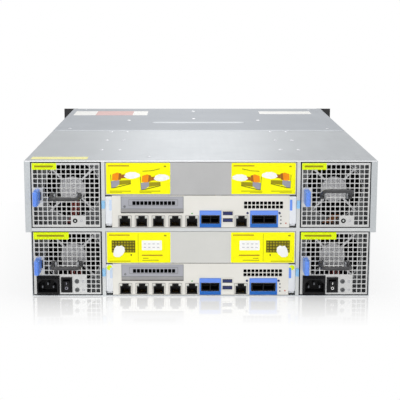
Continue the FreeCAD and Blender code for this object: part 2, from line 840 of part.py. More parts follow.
# A blade's section follows one arc, in a few chords on each face
def blade_outline(middle):
    start = (number("-blade_axial / 2"), number("-blade_sweep / 2"))
    end = (number("blade_axial / 2"), number("blade_sweep / 2"))
    chord = math.dist(start, end)
    bow = number("blade_bow")
    drop = math.sqrt(bow ** 2 - (chord / 2) ** 2)
    centre = ((end[1] - start[1]) / chord * drop, (start[0] - end[0]) / chord * drop)
    first, last = [math.atan2(point[1] - centre[1], point[0] - centre[0]) for point in (start, end)]
    chords = int(number("blade_chords"))
    turns = [first + (last - first) * i / chords for i in range(chords + 1)]
    outer = [(bow, turn) for turn in turns]
    inner = [(bow - number("blade_thickness"), turn) for turn in reversed(turns)]
    return [(f"{middle} + ({centre[0] + radius * math.cos(turn):.6f})",
             f"{centre[1] + radius * math.sin(turn):.6f}") for radius, turn in outer + inner]


def make_rotor(label, side, row, height):
    body = new_body(label)
    start = "motor_base + hub_gap"
    add(body, "XZ", start, "hub_length", facets("0", "0", "hub_diameter / 2", "round_sides"))
    half = "(blade_sweep / 2 + blade_thickness)"
    root = f"(sqrt((hub_diameter / 2)^2 - {half}^2) - blade_root)"
    tip = f"sqrt(({FAN_BORE} - blade_tip_gap)^2 - {half}^2)"
    blade = add(body, "YZ", root, f"{tip} - {root}", blade_outline(f"{start} + hub_length / 2"))
    repeat_round(body, [blade], "Y", "blade_count")
    cut(body, "XZ", start, "shaft_length", bore_outline("0", "0", "shaft_radius"))
    return fan_place(body, side, row, height)


# Bail handles lie level about their pivot, then turn to their resting slope
def make_bail(label, side, row, angle):
    body = new_body(label)
    half = "bail_width / 2"
    outline = [
        (f"-{half}", "bail_thickness / 2"),
        (f"-{half}", "bail_corner - bail_reach"),
        (f"bail_corner - {half}", "-bail_reach"),
        (f"{half} - bail_corner", "-bail_reach"),
        (half, "bail_corner - bail_reach"),
        (half, "bail_thickness / 2"),
        (f"{half} - bail_leg", "bail_thickness / 2"),
        (f"{half} - bail_leg", "bail_bar - bail_reach"),
        (f"bail_leg - {half}", "bail_bar - bail_reach"),
        (f"bail_leg - {half}", "bail_thickness / 2"),
    ]
    add(body, "XY", "-bail_thickness / 2", "bail_thickness", outline)
    bevel_edges(body, "bail_eye_bevel",
                lambda middle, direction: abs(direction.x) > 0.9 and middle.y > 0)
    pin = add(body, "YZ", f"{half} - bail_leg - bail_gap - bail_ear", "bail_gap + bail_ear + bail_leg / 2",
              pin_outline("0", "0", "pin_radius"))
    mirror(body, [pin])
    place(body, f"{SIDE_LEFT[side]} + {MODULE_WIDTH} / 2", f"{FACE} - pivot_out",
          f"{ROW_FLOOR[row]} + pivot_height")
    body.Placement.Rotation = FreeCAD.Rotation(FreeCAD.Vector(1, 0, 0), number(angle))
    body.setExpression("Placement.Rotation.Angle", bind(angle))
    return node(body)


def make_latch(label, side, row):
    body = new_body(label)
    right = "latch_offset + latch_width"
    tab = [
        ("latch_offset", "-latch_gap"),
        ("latch_offset", "latch_bevel - latch_proud"),
        ("latch_offset + latch_bevel", "-latch_proud"),
        (f"{right} - latch_bevel", "-latch_proud"),
        (right, "2 * latch_bevel - latch_proud"),
        (right, "-latch_gap"),
    ]
    add(body, "XY", "latch_rise", "latch_height", tab)
    stem_left = "latch_offset + (latch_width - latch_stem) / 2"
    add(body, "XZ", "-latch_gap - root_bite", "face_sheet + 2 * latch_gap + root_bite",
        rect(stem_left, f"{LATCH_MIDDLE} - latch_stem_height / 2",
             f"{stem_left} + latch_stem", f"{LATCH_MIDDLE} + latch_stem_height / 2"))
    add(body, "XZ", "face_sheet + latch_gap", "module_sheet",
        rect("latch_offset - latch_gap", f"{LATCH_MIDDLE} - latch_foot_height / 2",
             f"{right} + latch_gap", f"{LATCH_MIDDLE} + latch_foot_height / 2"))
    return place_module(body, side, row)


# Power inlet with the switch frame beside it
def make_inlet(side):
    body = new_body("inlet_shell_" + side)
    centre = ("inlet_offset", "inlet_rise")

    def around(width, height):
        return rect(f"{centre[0]} - ({width}) / 2", f"{centre[1]} - ({height}) / 2",
                    f"{centre[0]} + ({width}) / 2", f"{centre[1]} + ({height}) / 2")

    add(body, "XZ", "-inlet_flange", "inlet_flange", around("inlet_flange_width", "inlet_flange_height"))
    add(body, "XZ", "-inlet_proud", "inlet_proud + inlet_depth",
        around("inlet_outer_width", "inlet_outer_height"))
    left, low = around("inlet_cavity_width", "inlet_cavity_height")[0]
    right, high = around("inlet_cavity_width", "inlet_cavity_height")[2]
    cavity = [(left, low), (right, low), (right, f"{high} - inlet_corner"),
              (f"{right} - inlet_corner", high), (f"{left} + inlet_corner", high),
              (left, f"{high} - inlet_corner")]
    cut(body, "XZ", "-inlet_proud", "inlet_cavity_depth", cavity)
    for step, rise in ((-1, -1), (0, 1), (1, -1)):
        x = f"{centre[0]} + {step} * inlet_pin_pitch"
        z = f"{centre[1]} + {rise} * inlet_pin_stagger"
        add(body, "XZ", "inlet_cavity_depth - inlet_proud - inlet_pin_length",
            "inlet_pin_length + root_bite",
            rect(f"{x} - inlet_pin_width / 2", f"{z} - inlet_pin_height / 2",
                 f"{x} + inlet_pin_width / 2", f"{z} + inlet_pin_height / 2"))
    frame = new_body("switch_frame_" + side)
    half_x = "switch_width / 2"
    half_z = "switch_height / 2"

    def ring(inset):
        return rect(f"switch_offset - {half_x} + {inset}", f"switch_rise - {half_z} + {inset}",
                    f"switch_offset + {half_x} - {inset}", f"switch_rise + {half_z} - {inset}")

    add(frame, "XZ", "-switch_rim", "switch_rim", ring("0"))
    add(frame, "XZ", "-switch_rim", "switch_rim + switch_depth", ring("switch_wall"))
    cut(frame, "XZ", "-switch_rim", "switch_rim + switch_depth - switch_wall", ring("2 * switch_wall"))
    cut(frame, "YZ", "switch_offset - switch_width / 2", "switch_width",
        bore_outline("switch_rim", "switch_rise", "rocker_pin"))
    doc.recompute()
    pieces = [body.Shape.copy(), frame.Shape.copy()]
    power_entry = group("power_entry_" + side, pieces)
    place(power_entry, SIDE_LEFT[side], FACE, ROW_FLOOR["lower"])
    return power_entry


def make_rocker(side):
    body = new_body("rocker_" + side)
    half_x = "(switch_width / 2 - 2 * switch_wall - rocker_gap)"
    half_z = "(switch_height / 2 - 2 * switch_wall - rocker_gap)"
    crown = "(-2 * switch_rim - rocker_proud)"
    paddle = [
        (crown, f"rocker_draft - {half_z}"),
        (f"{crown} + rocker_dip", "0"),
        (crown, f"{half_z} - rocker_draft"),
        ("0", f"{half_z} - 3 * rocker_draft"),
        ("rocker_keel - switch_rim", "0"),
        ("0", f"3 * rocker_draft - {half_z}"),
    ]
    add(body, "YZ", f"-{half_x}", f"2 * {half_x}", paddle)
    pin = add(body, "YZ", f"{half_x} - rocker_pin", "rocker_pin + rocker_gap + switch_wall / 2",
              pin_outline("0", "0", "rocker_pin"))
    mirror(body, [pin])
    place(body, f"{SIDE_LEFT[side]} + switch_offset", f"{FACE} + switch_rim",
          f"{ROW_FLOOR['lower']} + switch_rise")
    body.Placement.Rotation = FreeCAD.Rotation(FreeCAD.Vector(1, 0, 0), number("rocker_tilt"))
    body.setExpression("Placement.Rotation.Angle", bind("rocker_tilt"))
    return node(body)


# Controllers, drawn about the middle of their own lower rear edge
TRAY_HALF = f"({BAY_HALF} - module_clearance)"


def around_port(middle, width, rise, height, gap="0"):
    return rect(f"{middle} - ({width}) / 2 - {gap}", f"{rise} - {gap}",
                f"{middle} + ({width}) / 2 + {gap}", f"{rise} + {height} + {gap}")


def make_controller_tray(row):
    body = new_body("controller_tray_" + row)
    add(body, "XZ", "0", "controller_depth", rect(f"-{TRAY_HALF}", "0", TRAY_HALF, "controller_height"))
    cut(body, "XZ", "panel_sheet", "controller_depth - panel_sheet",
        rect(f"module_sheet - {TRAY_HALF}", "module_sheet",
             f"{TRAY_HALF} - module_sheet", "controller_height"))
    inner = f"({TRAY_HALF} - recess_width)"
    recess = cut(body, "XZ", "0", "recess_depth", rect(inner, "0", TRAY_HALF, "controller_height"))
    cheek = add(body, "XY", "0", "controller_height", [
        (f"{inner} - module_sheet", "0"),
        (inner, "0"),
        (inner, "recess_depth"),
        (TRAY_HALF, "recess_depth"),
        (TRAY_HALF, "recess_depth + module_sheet"),
        (f"{inner} - module_sheet", "recess_depth + module_sheet"),
    ])
    pin = add(body, "YZ", f"{inner} - module_sheet / 2", "recess_width - lever_side_gap + module_sheet / 2",
              pin_outline("lever_pivot_in", "lever_pivot_rise", "pin_radius"))
    mirror(body, [recess, cheek, pin])
    jack = cut(body, "XZ", "0", "panel_sheet",
               around_port("jack_first", "jack_width", "jack_rise", "jack_height", "port_clearance"))
    repeat(body, [jack], "X", "jack_pitch", "jack_count")
    cut(body, "XZ", "0", "panel_sheet",
        around_port("management_jack", "jack_width", "jack_rise", "jack_height", "port_clearance"),
        around_port("usb_center", "usb_width", "usb_rise", "usb_height", "port_clearance"),
        around_port("sas_center", "sas_width", "cage_rise", "cage_height", "port_clearance"),
        around_port("sfp_center", "sfp_width", "cage_rise", "cage_height", "port_clearance"),
        rect("window_left", "window_low", "window_right", "window_high"))
    vent = cut(body, "XZ", "0", "panel_sheet",
               rect("vent_first - vent_width / 2", "vent_rise - vent_width / 2",
                    "vent_first + vent_width / 2", "vent_rise + vent_width / 2"))
    repeat(body, [vent], "X", "vent_pitch", "vent_columns", "Z", "vent_pitch", "2")
    post = add(body, "XY", "module_sheet", "board_standoff",
               rect("-(post_span + post_size) / 2", "post_first - post_size / 2",
                    "-(post_span - post_size) / 2", "post_first + post_size / 2"))
    repeat(body, [post], "X", "post_span", "2", "Y", "post_run", "2")
    place(body, "0", FACE, ROW_FLOOR[row])
    return node(body)


def make_mainboard(row):
    body = new_body("mainboard_" + row)
    low = "module_sheet + board_standoff"
    half = f"({TRAY_HALF} - board_margin - recess_width)"
    top = f"({low} + board_thickness)"
    add(body, "XY", low, "board_thickness",
        rect(f"-{half}", "port_depth", half, "controller_depth - board_end"))
    socket_low = "socket_from_rear - socket_size / 2"
    socket_high = "socket_from_rear + socket_size / 2"
    add(body, "XY", top, "socket_height",
        rect("-socket_size / 2", socket_low, "socket_size / 2", socket_high),
        rect("-socket_size / 2 + socket_frame", f"{socket_low} + socket_frame",
             "socket_size / 2 - socket_frame", f"{socket_high} - socket_frame"))
    first = f"dimm_margin - {half}"
    dimm = add(body, "XY", top, "dimm_height",
               rect(first, "socket_from_rear - dimm_length / 2",
                    f"{first} + dimm_width", "socket_from_rear + dimm_length / 2"))
    repeat(body, [dimm], "X", "dimm_pitch", "dimm_count")
    add(body, "XY", top, "riser_height",
        rect("window_left - riser_sheet", "riser_start", "window_left", "riser_end"))
    sink_low = "sink_from_rear - sink_size / 2"
    sink_high = "sink_from_rear + sink_size / 2"
    sink_left = "sink_right - sink_size / 2"
    add(body, "XY", top, "sink_base", rect(sink_left, sink_low, "sink_right + sink_size / 2", sink_high))
    fin = add(body, "XY", f"{top} + sink_base - root_bite", "fin_height + root_bite",
              rect(sink_left, sink_low, f"{sink_left} + fin_sheet", sink_high))
    repeat(body, [fin], "X", "fin_pitch", "fin_count")
    plug_end = "(controller_depth - board_end)"
    add(body, "XY", top, "plug_height",
        rect("plug_gap / 2", f"{plug_end} - plug_length", "plug_gap / 2 + plug_width", plug_end),
        rect("-plug_gap / 2 - plug_width", f"{plug_end} - plug_length", "-plug_gap / 2", plug_end))
    place(body, "0", FACE, ROW_FLOOR[row])
    return node(body)


def jack_shape(middle):
    body = new_body("network_jack")
    add(body, "XZ", "-port_proud", "port_depth + port_proud",
        around_port(middle, "jack_width", "jack_rise", "jack_height"))
    low = "jack_rise + port_wall"
    shoulder = f"{low} + jack_opening_height"
    crown = f"{shoulder} + jack_notch_height"
    cut(body, "XZ", "-port_proud", "jack_cavity", [
        (f"{middle} - jack_opening / 2", low),
        (f"{middle} + jack_opening / 2", low),
        (f"{middle} + jack_opening / 2", shoulder),
        (f"{middle} + jack_notch / 2", shoulder),
        (f"{middle} + jack_notch / 2", crown),
        (f"{middle} - jack_notch / 2", crown),
        (f"{middle} - jack_notch / 2", shoulder),
        (f"{middle} - jack_opening / 2", shoulder),
    ])
    return body


def usb_shape():
    body = new_body("usb_stack")
    add(body, "XZ", "-port_proud", "port_depth + port_proud",
        around_port("usb_center", "usb_width", "usb_rise", "usb_height"))
    middle = "usb_rise + usb_height / 2"
    for way in "+-":
        low = f"{middle} {way} usb_slot_pitch / 2 - usb_slot_height / 2"
        cut(body, "XZ", "-port_proud", "usb_cavity",
            around_port("usb_center", "usb_slot_width", low, "usb_slot_height"))
        add(body, "XZ", "usb_tongue_setback", "usb_cavity",
            around_port("usb_center", "usb_tongue_width", f"{low} + port_wall", "usb_tongue"))
    return body


def cage_shape(name, opening):
    body = new_body(name + "_cage")
    add(body, "XZ", "-bezel_sheet", "port_depth + bezel_sheet",
        around_port(f"{name}_center", f"{name}_width", "cage_rise", "cage_height"))
    low = "cage_rise + (cage_height - cage_opening_height) / 2"
    for way in "+-":
        middle = f"{name}_center {way} (cage_web + {opening}) / 2"
        cut(body, "XZ", "-bezel_sheet", "cage_cavity",
            around_port(middle, opening, low, "cage_opening_height"))
    return body


def make_ports(row):
    bodies = [jack_shape(f"jack_first + {i} * jack_pitch") for i in range(int(number("jack_count")))]
    bodies.append(jack_shape("management_jack"))
    bodies.append(usb_shape())
    bodies.append(cage_shape("sas", "sas_opening"))
    bodies.append(cage_shape("sfp", "sfp_opening"))
    doc.recompute()
    ports = group("io_ports_" + row, [body.Shape.copy() for body in bodies])
    place(ports, "0", FACE, ROW_FLOOR[row])
    return ports


def make_bezels(row):
    bodies = []
    for name in ("sas", "sfp"):
        body = new_body(name + "_bezel")
        window = around_port(f"{name}_center", f"{name}_width", "cage_rise", "cage_height", "port_clearance")
        outer = around_port(f"{name}_center", f"{name}_width + 2 * bezel_margin",
                            "bezel_rise", "bezel_height")
        add(body, "XZ", "-bezel_sheet", "bezel_sheet", outer, window)
        bodies.append(body)
    doc.recompute()
    bezels = group("port_bezels_" + row, [body.Shape.copy() for body in bodies])
    place(bezels, "0", FACE, ROW_FLOOR[row])
    return bezels


def make_bracket(row):
    body = new_body("card_bracket_" + row)
    add(body, "XZ", "panel_sheet", "bracket_sheet",
        rect("window_left - bracket_lap", "window_low - bracket_lap",
             "window_right + bracket_lap", "window_high + bracket_lap"))
    hole = cut(body, "XZ", "panel_sheet", "bracket_sheet",
               rect("bracket_hole_first - bracket_hole_radius", "bracket_hole_rise - bracket_hole_radius",
                    "bracket_hole_first + bracket_hole_radius", "bracket_hole_rise + bracket_hole_radius"))
    repeat(body, [hole], "X", "bracket_hole_pitch", "bracket_holes")
    place(body, "0", FACE, ROW_FLOOR[row])
    return node(body)


def make_lever(row, side, sign):
    body = new_body(f"eject_lever_{row}_{side}")
    skin = "lever_setback - lever_pivot_in"
    top = "lever_top - lever_pivot_rise"
    profile = [
        (skin, "-lever_heel"),
        (skin, top),
        ("lever_lip - lever_pivot_in", top),
        ("lever_lip - lever_pivot_in", f"{top} - lever_lip_sheet"),
        (f"{skin} + lever_skin", f"{top} - lever_lip_sheet"),
        (f"{skin} + lever_skin", "lever_foot"),
        ("0", "lever_foot - lever_heel"),
        ("lever_foot - 2 * lever_heel", "lever_foot / 2"),
        ("lever_foot - 2 * lever_heel", "-lever_foot / 2"),
        ("0", "-lever_foot"),
        ("-lever_foot / 2", "lever_heel - lever_foot"),
    ]
    add(body, "YZ", "-lever_width / 2", "lever_width", list(reversed(profile)))
    cut(body, "YZ", "-lever_width / 2", "lever_width", bore_outline("0", "0", "pin_radius"))
    middle = f"{sign} * ({TRAY_HALF} - recess_width / 2)"
    place(body, middle, f"{FACE} + lever_pivot_in", f"{ROW_FLOOR[row]} + lever_pivot_rise")
    return node(body)


# Drive cage, trays and midplane
CAGE_HALF = f"({INNER_HALF} - cage_gap)"
CAGE_LOW = "(wall_sheet + cage_gap)"
CAGE_HIGH = f"({COVER_LOW} - cage_gap)"
CELL_WIDTH = f"((2 * {CAGE_HALF} - cage_wall) / tray_columns - cage_wall)"
CELL_HEIGHT = f"(({CAGE_HIGH} - {CAGE_LOW} - cage_wall) / tray_rows - cage_wall)"


def cell_middle(index):
    return f"(cage_wall + {CELL_WIDTH} / 2 - {CAGE_HALF} + ({index}) * ({CELL_WIDTH} + cage_wall))"


def cell_low(index):
    return f"({CAGE_LOW} + cage_wall + ({index}) * ({CELL_HEIGHT} + cage_wall))"


def make_cage():
    columns = int(number("tray_columns"))
    levels = int(number("tray_rows"))
    plates = []
    for index in range(columns + 1):
        left = f"({cell_middle(index)} - {CELL_WIDTH} / 2 - cage_wall)"
        plates.append(box_between((left, CAGE_REAR, CAGE_LOW), (f"{left} + cage_wall", CAGE_FRONT, CAGE_HIGH)))
    for level in range(levels + 1):
        low = f"({cell_low(level)} - cage_wall)"
        for index in range(columns):
            left = f"({cell_middle(index)} - {CELL_WIDTH} / 2)"
            plates.append(box_between((left, CAGE_REAR, low),
                                      (f"{left} + {CELL_WIDTH}", CAGE_FRONT, f"{low} + cage_wall")))
    return group("drive_cage", plates)


def make_tray_pattern():
    body = new_body("tray_pattern")
    half = f"({CELL_WIDTH} / 2 - tray_clearance)"
    height = f"({CELL_HEIGHT} - 2 * tray_clearance)"
    add(body, "XZ", "-tray_bezel", "tray_bezel", rect(f"-{half}", "0", half, height))
    rail = f"({half} - tray_rail_inset)"
    low = "tray_floor_rise"
    high = f"({height} - tray_top_drop)"
    add(body, "XZ", "-tray_length", "tray_length - tray_bezel", rect(f"-{rail}", low, rail, high))
    cut(body, "XY", f"{low} + tray_wall", f"{high} - {low} - tray_wall",
        rect(f"tray_wall - {rail}", "tray_wall - tray_length", f"{rail} - tray_wall", "-tray_bezel - tray_wall"))
    lever_low = f"({height} - tray_lever_height) / 2"
    lever_high = f"({height} + tray_lever_height) / 2"
    lever = [
        ("0", lever_low),
        ("tray_lever_proud", f"{lever_low} + tray_lever_bevel"),
        ("tray_lever_proud", f"{lever_high} - tray_lever_bevel"),
        ("0", lever_high),
    ]
    add(body, "YZ", f"tray_lever_left - {half}", f"2 * {half} - tray_lever_left - tray_lever_right", lever)
    doc.recompute()
    return body.Shape.copy()


def make_trays():
    pattern = make_tray_pattern()
    columns = int(number("tray_columns"))
    rows = int(number("tray_rows"))
    front = f"{FRONT} + tray_proud"
    fixed = []
    for row in range(rows):
        for index in range(columns):
            spot = FreeCAD.Vector(number(cell_middle(index)), number(front),
                                  number(f"{cell_low(row)} + tray_clearance"))
            if row < rows - 1:
                fixed.append(pattern.translated(spot))
                continue
            tray = doc.addObject("Part::Feature", f"drive_tray_{index + 1}")
            tray.Label = tray.Name
            tray.Shape = pattern
            place(tray, cell_middle(index), front, f"{cell_low(row)} + tray_clearance")
            node(tray)
    group("drive_trays", fixed)


def make_midplane():
    body = new_body("midplane_board")
    half = f"({CAGE_HALF} - midplane_margin)"
    low = f"({CAGE_LOW} + midplane_edge)"
    high = f"({CAGE_HIGH} - midplane_edge)"
    add(body, "XZ", BAY_END, "midplane_sheet", rect(f"-{half}", low, half, high))
    left = f"({cell_middle('0')} + midplane_slot_offset - midplane_slot / 2)"
    hole = cut(body, "XZ", BAY_END, "midplane_sheet",
               rect(left, f"{low} + midplane_slot_margin",
                    f"{left} + midplane_slot", f"{high} - midplane_slot_margin"))
    repeat(body, [hole], "X", f"{CELL_WIDTH} + cage_wall", "tray_columns")
    doc.recompute()
    pieces = [body.Shape.copy()]
    for index in range(int(number("tray_columns"))):
        for row in range(int(number("tray_rows"))):
            x = cell_middle(index)
            z = f"{cell_low(row)} + connector_rise"
            pieces.append(box_between(
                (f"{x} - connector_width / 2", CAGE_REAR, z),
                (f"{x} + connector_width / 2", f"{CAGE_REAR} + connector_reach", f"{z} + connector_height")))
    group("midplane", pieces)


make_tub()
make_bay_frame()
make_rear_cover()
make_front_cover()
make_ear("left", -1)
make_ear("right", 1)
make_button()
make_catches()
for row in ROW_FLOOR:
    make_blank(row)
for side, slope in (("left", "-bail_lift"), ("right", "-bail_raise")):
    make_fan_housing(side)
    make_guard("fan_guard_" + side, side, "upper", FAN_HEIGHT)
    make_fan_frame("fan_frame_" + side, side, "upper", FAN_HEIGHT)
    make_rotor("fan_rotor_" + side, side, "upper", FAN_HEIGHT)
    make_bail("fan_bail_" + side, side, "upper", slope)
    make_latch("fan_latch_" + side, side, "upper")
    make_psu_housing(side)
    make_guard("psu_guard_" + side, side, "lower", PSU_HEIGHT)
    make_fan_frame("psu_fan_frame_" + side, side, "lower", PSU_HEIGHT)
    make_rotor("psu_rotor_" + side, side, "lower", PSU_HEIGHT)
    make_bail("psu_bail_" + side, side, "lower", "-bail_lift")
    make_latch("psu_latch_" + side, side, "lower")
    make_inlet(side)
    make_rocker(side)
for row in ROW_FLOOR:
    make_controller_tray(row)
    make_mainboard(row)
    make_ports(row)
    make_bezels(row)
    make_bracket(row)
    make_lever(row, "left", -1)
    make_lever(row, "right", 1)
make_cage()
make_midplane()
make_trays()
doc.recompute()

# Every object must be sound before its file is written
for item in doc.Objects:
    if "Invalid" in item.State or "Error" in item.State:
        raise RuntimeError(f"{item.Label}: {item.State}")
for item in nodes:
    if item.Shape.isNull() or not item.Shape.isValid():
        raise RuntimeError(f"{item.Label}: unsound shape")
    item.Shape.exportStep(f"parts/{item.Label}.step")
print(len(nodes), "parts written")
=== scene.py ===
import math

import bmesh
import bpy
from mathutils import Matrix, Vector


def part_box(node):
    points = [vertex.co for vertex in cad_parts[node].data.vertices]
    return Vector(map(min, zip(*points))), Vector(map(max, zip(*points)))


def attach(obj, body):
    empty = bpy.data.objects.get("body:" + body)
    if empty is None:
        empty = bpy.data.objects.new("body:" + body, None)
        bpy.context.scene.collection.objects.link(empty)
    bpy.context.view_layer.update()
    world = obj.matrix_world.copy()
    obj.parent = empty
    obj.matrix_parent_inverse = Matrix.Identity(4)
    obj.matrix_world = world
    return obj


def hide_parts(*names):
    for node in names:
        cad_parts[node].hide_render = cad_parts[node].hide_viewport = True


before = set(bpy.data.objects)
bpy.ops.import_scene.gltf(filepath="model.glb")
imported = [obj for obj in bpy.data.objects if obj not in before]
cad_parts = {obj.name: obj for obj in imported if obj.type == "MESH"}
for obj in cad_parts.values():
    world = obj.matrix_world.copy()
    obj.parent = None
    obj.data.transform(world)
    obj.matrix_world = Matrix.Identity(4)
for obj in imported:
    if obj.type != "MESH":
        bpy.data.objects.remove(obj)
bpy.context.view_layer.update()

# Meshes are drawn in millimetres in the model's frame and scaled once, when they are put together
MM = 0.001


def corner(node, end):
    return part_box(node)[end] / MM


# Places from the CAD: the rear face stands at FACE, and each row stands on its FLOOR
ROWS = ("upper", "lower")
SIDES = ("left", "right")
MODULE_ROW = {"fan": "upper", "psu": "lower"}
FACE = corner("blank_panel_upper", 0).y
REAR = corner("chassis_tub", 0).y
TOP = corner("top_cover_rear", 1).z
FLOOR = {row: corner("controller_tray_" + row, 0).z for row in ROWS}
MODULE_LEFT = {side: corner("fan_housing_" + side, 0).x for side in SIDES}
MODULE_WIDTH = corner("fan_housing_left", 1).x - corner("fan_housing_left", 0).x
MODULE_FLOOR = {kind: FLOOR[row] for kind, row in MODULE_ROW.items()}
MODULE_HEIGHT = {kind: corner(kind + "_housing_left", 1).z - MODULE_FLOOR[kind] for kind in MODULE_ROW}
MODULE_DEPTH = {kind: corner(kind + "_housing_left", 1).y - FACE for kind in MODULE_ROW}


# Colours and materials

def linear(code):
    channels = [int(code[i:i + 2], 16) / 255 for i in (1, 3, 5)]
    return [c / 12.92 if c <= 0.04045 else ((c + 0.055) / 1.055) ** 2.4 for c in channels] + [1.0]


# Pattern scale for a feature of this size in millimetres
def per_metre(size):
    return 1 / (size * MM)


def add_node(tree, kind, settings=None, links=None):
    node = tree.nodes.new("ShaderNode" + kind)
    for name, value in (settings or {}).items():
        if isinstance(name, int) or name in node.inputs:
            node.inputs[name].default_value = value
        else:
            setattr(node, name, value)
    for name, source in (links or {}).items():
        tree.links.new(source, node.inputs[name])
    return node


def new_surface(name, sockets):
    surface = bpy.data.materials.new(name)
    surface.use_nodes = True
    tree = surface.node_tree
    shader = tree.nodes["Principled BSDF"]
    for socket, value in sockets.items():
        shader.inputs[socket].default_value = value
    return surface, tree, shader, add_node(tree, "TexCoord").outputs["Object"]


def feed(tree, shader, sources):
    for socket, source in sources.items():
        tree.links.new(source, shader.inputs[socket])


# Galvanised steel, hot dipped and rolled: soft zinc spangle and faint streaks along the sheet
def galvanised_steel(name, pale, dull, streak_turn=0.0, roughness=0.32):
    spangle_size, streak_width, streak_length, patch_size = 14, 3, 160, 90
    sockets = {"Metallic": 0.85, "Specular Tint": linear("#d9d9d9")}
    surface, tree, shader, place = new_surface(name, sockets)
    spangle = add_node(tree, "TexVoronoi", {"Scale": per_metre(spangle_size)}, {"Vector": place})
    stretch = (per_metre(streak_width), per_metre(streak_length), per_metre(streak_width))
    along = add_node(tree, "Mapping", {"Rotation": (0, 0, streak_turn), "Scale": stretch},
                     {"Vector": place})
    streak = add_node(tree, "TexNoise", {"Scale": 1.0, "Detail": 4.0},
                      {"Vector": along.outputs["Vector"]})
    patch = add_node(tree, "TexNoise", {"Scale": per_metre(patch_size), "Detail": 2.0}, {"Vector": place})
    grain = add_node(tree, "Mix", {0: 0.35}, {2: streak.outputs["Fac"], 3: spangle.outputs["Color"]})
    cloud = add_node(tree, "Mix", {0: 0.5}, {2: grain.outputs[0], 3: patch.outputs["Fac"]})
    tint = add_node(tree, "Mix", {"data_type": "RGBA", 6: linear(dull), 7: linear(pale)},
                    {0: cloud.outputs[0]})
    rough = add_node(tree, "MapRange", {"To Min": roughness, "To Max": roughness + 0.18},
                     {"Value": grain.outputs[0]})
    bump = add_node(tree, "Bump", {"Strength": 0.12, "Distance": 0.2 * MM},
                    {"Height": streak.outputs["Fac"]})
    feed(tree, shader, {"Base Color": tint.outputs[2], "Roughness": rough.outputs["Result"],
                        "Normal": bump.outputs["Normal"]})
    return surface


# Two tones that drift into each other under a finer grain: drift and grain are a size in millimetres and a
# detail, relief is the grain's strength and height, and rough is the span of roughness that follows it
def grained(name, pale, deep, sockets, drift, grain, relief=None, rough=None):
    surface, tree, shader, place = new_surface(name, sockets)
    broad = add_node(tree, "TexNoise", {"Scale": per_metre(drift[0]), "Detail": drift[1]},
                     {"Vector": place})
    fine = add_node(tree, "TexNoise", {"Scale": per_metre(grain[0]), "Detail": grain[1]},
                    {"Vector": place})
    tint = add_node(tree, "Mix", {"data_type": "RGBA", 6: linear(deep), 7: linear(pale)},
                    {0: broad.outputs["Fac"]})
    feed(tree, shader, {"Base Color": tint.outputs[2]})
    if relief:
        bump = add_node(tree, "Bump", {"Strength": relief[0], "Distance": relief[1] * MM},
                        {"Height": fine.outputs["Fac"]})
        feed(tree, shader, {"Normal": bump.outputs["Normal"]})
    if rough:
        span = add_node(tree, "MapRange", {"To Min": rough[0], "To Max": rough[1]},
                        {"Value": fine.outputs["Fac"]})
        feed(tree, shader, {"Roughness": span.outputs["Result"]})
    return surface


# Nickel-plated steel, satin finished: an even grey with a fine matt grain and slightly duller patches
def satin_nickel(name, pale, dull, metallic=0.8):
    # The real grain is near 0.2 mm and is drawn at 1.2 mm so that it shows
    return grained(name, pale, dull, {"Metallic": metallic}, drift=(35, 3.0), grain=(1.2, 3.0),
                   relief=(0.08, 0.1), rough=(0.3, 0.52))


# ABS and other plastics with a spark-textured skin, moulded or extruded: a soft broken sheen and slightly
# uneven colour, duller in foam and mesh
def moulded_plastic(name, pale, deep, roughness, sheen=0.5):
    # Spark texture is near 0.1 mm and is drawn at 0.7 mm so that it shows
    sockets = {"Roughness": roughness, "IOR": 1.53, "Specular IOR Level": sheen}
    return grained(name, pale, deep, sockets, drift=(18, 3.0), grain=(0.7, 2.0), relief=(0.25, 0.1))


# Steel under baked powder coat: an orange-peel skin that breaks up the highlight
def powder_coat(name, pale, deep, roughness):
    sockets = {"Roughness": roughness, "IOR": 1.5}
    return grained(name, pale, deep, sockets, drift=(40, 4.0), grain=(1.4, 1.0), relief=(0.3, 0.1))


# Vinyl film, paper and ink, printed and laid on flat: even colour, a soft gloss and very slight waves
def vinyl_film(name, pale, deep, roughness=0.45, sheen=0.2):
    sockets = {"Roughness": roughness, "IOR": 1.46, "Specular IOR Level": sheen}
    return grained(name, pale, deep, sockets, drift=(16, 2.0), grain=(16, 2.0), relief=(0.1, 0.3))


# Plated contact metal, stamped bright: a sharp reflection with faint drawing lines
def bright_plate(name, pale, dull, roughness=0.22):
    return grained(name, pale, dull, {"Metallic": 1.0}, drift=(2, 2.0), grain=(2, 2.0),
                   rough=(roughness, roughness + 0.15))


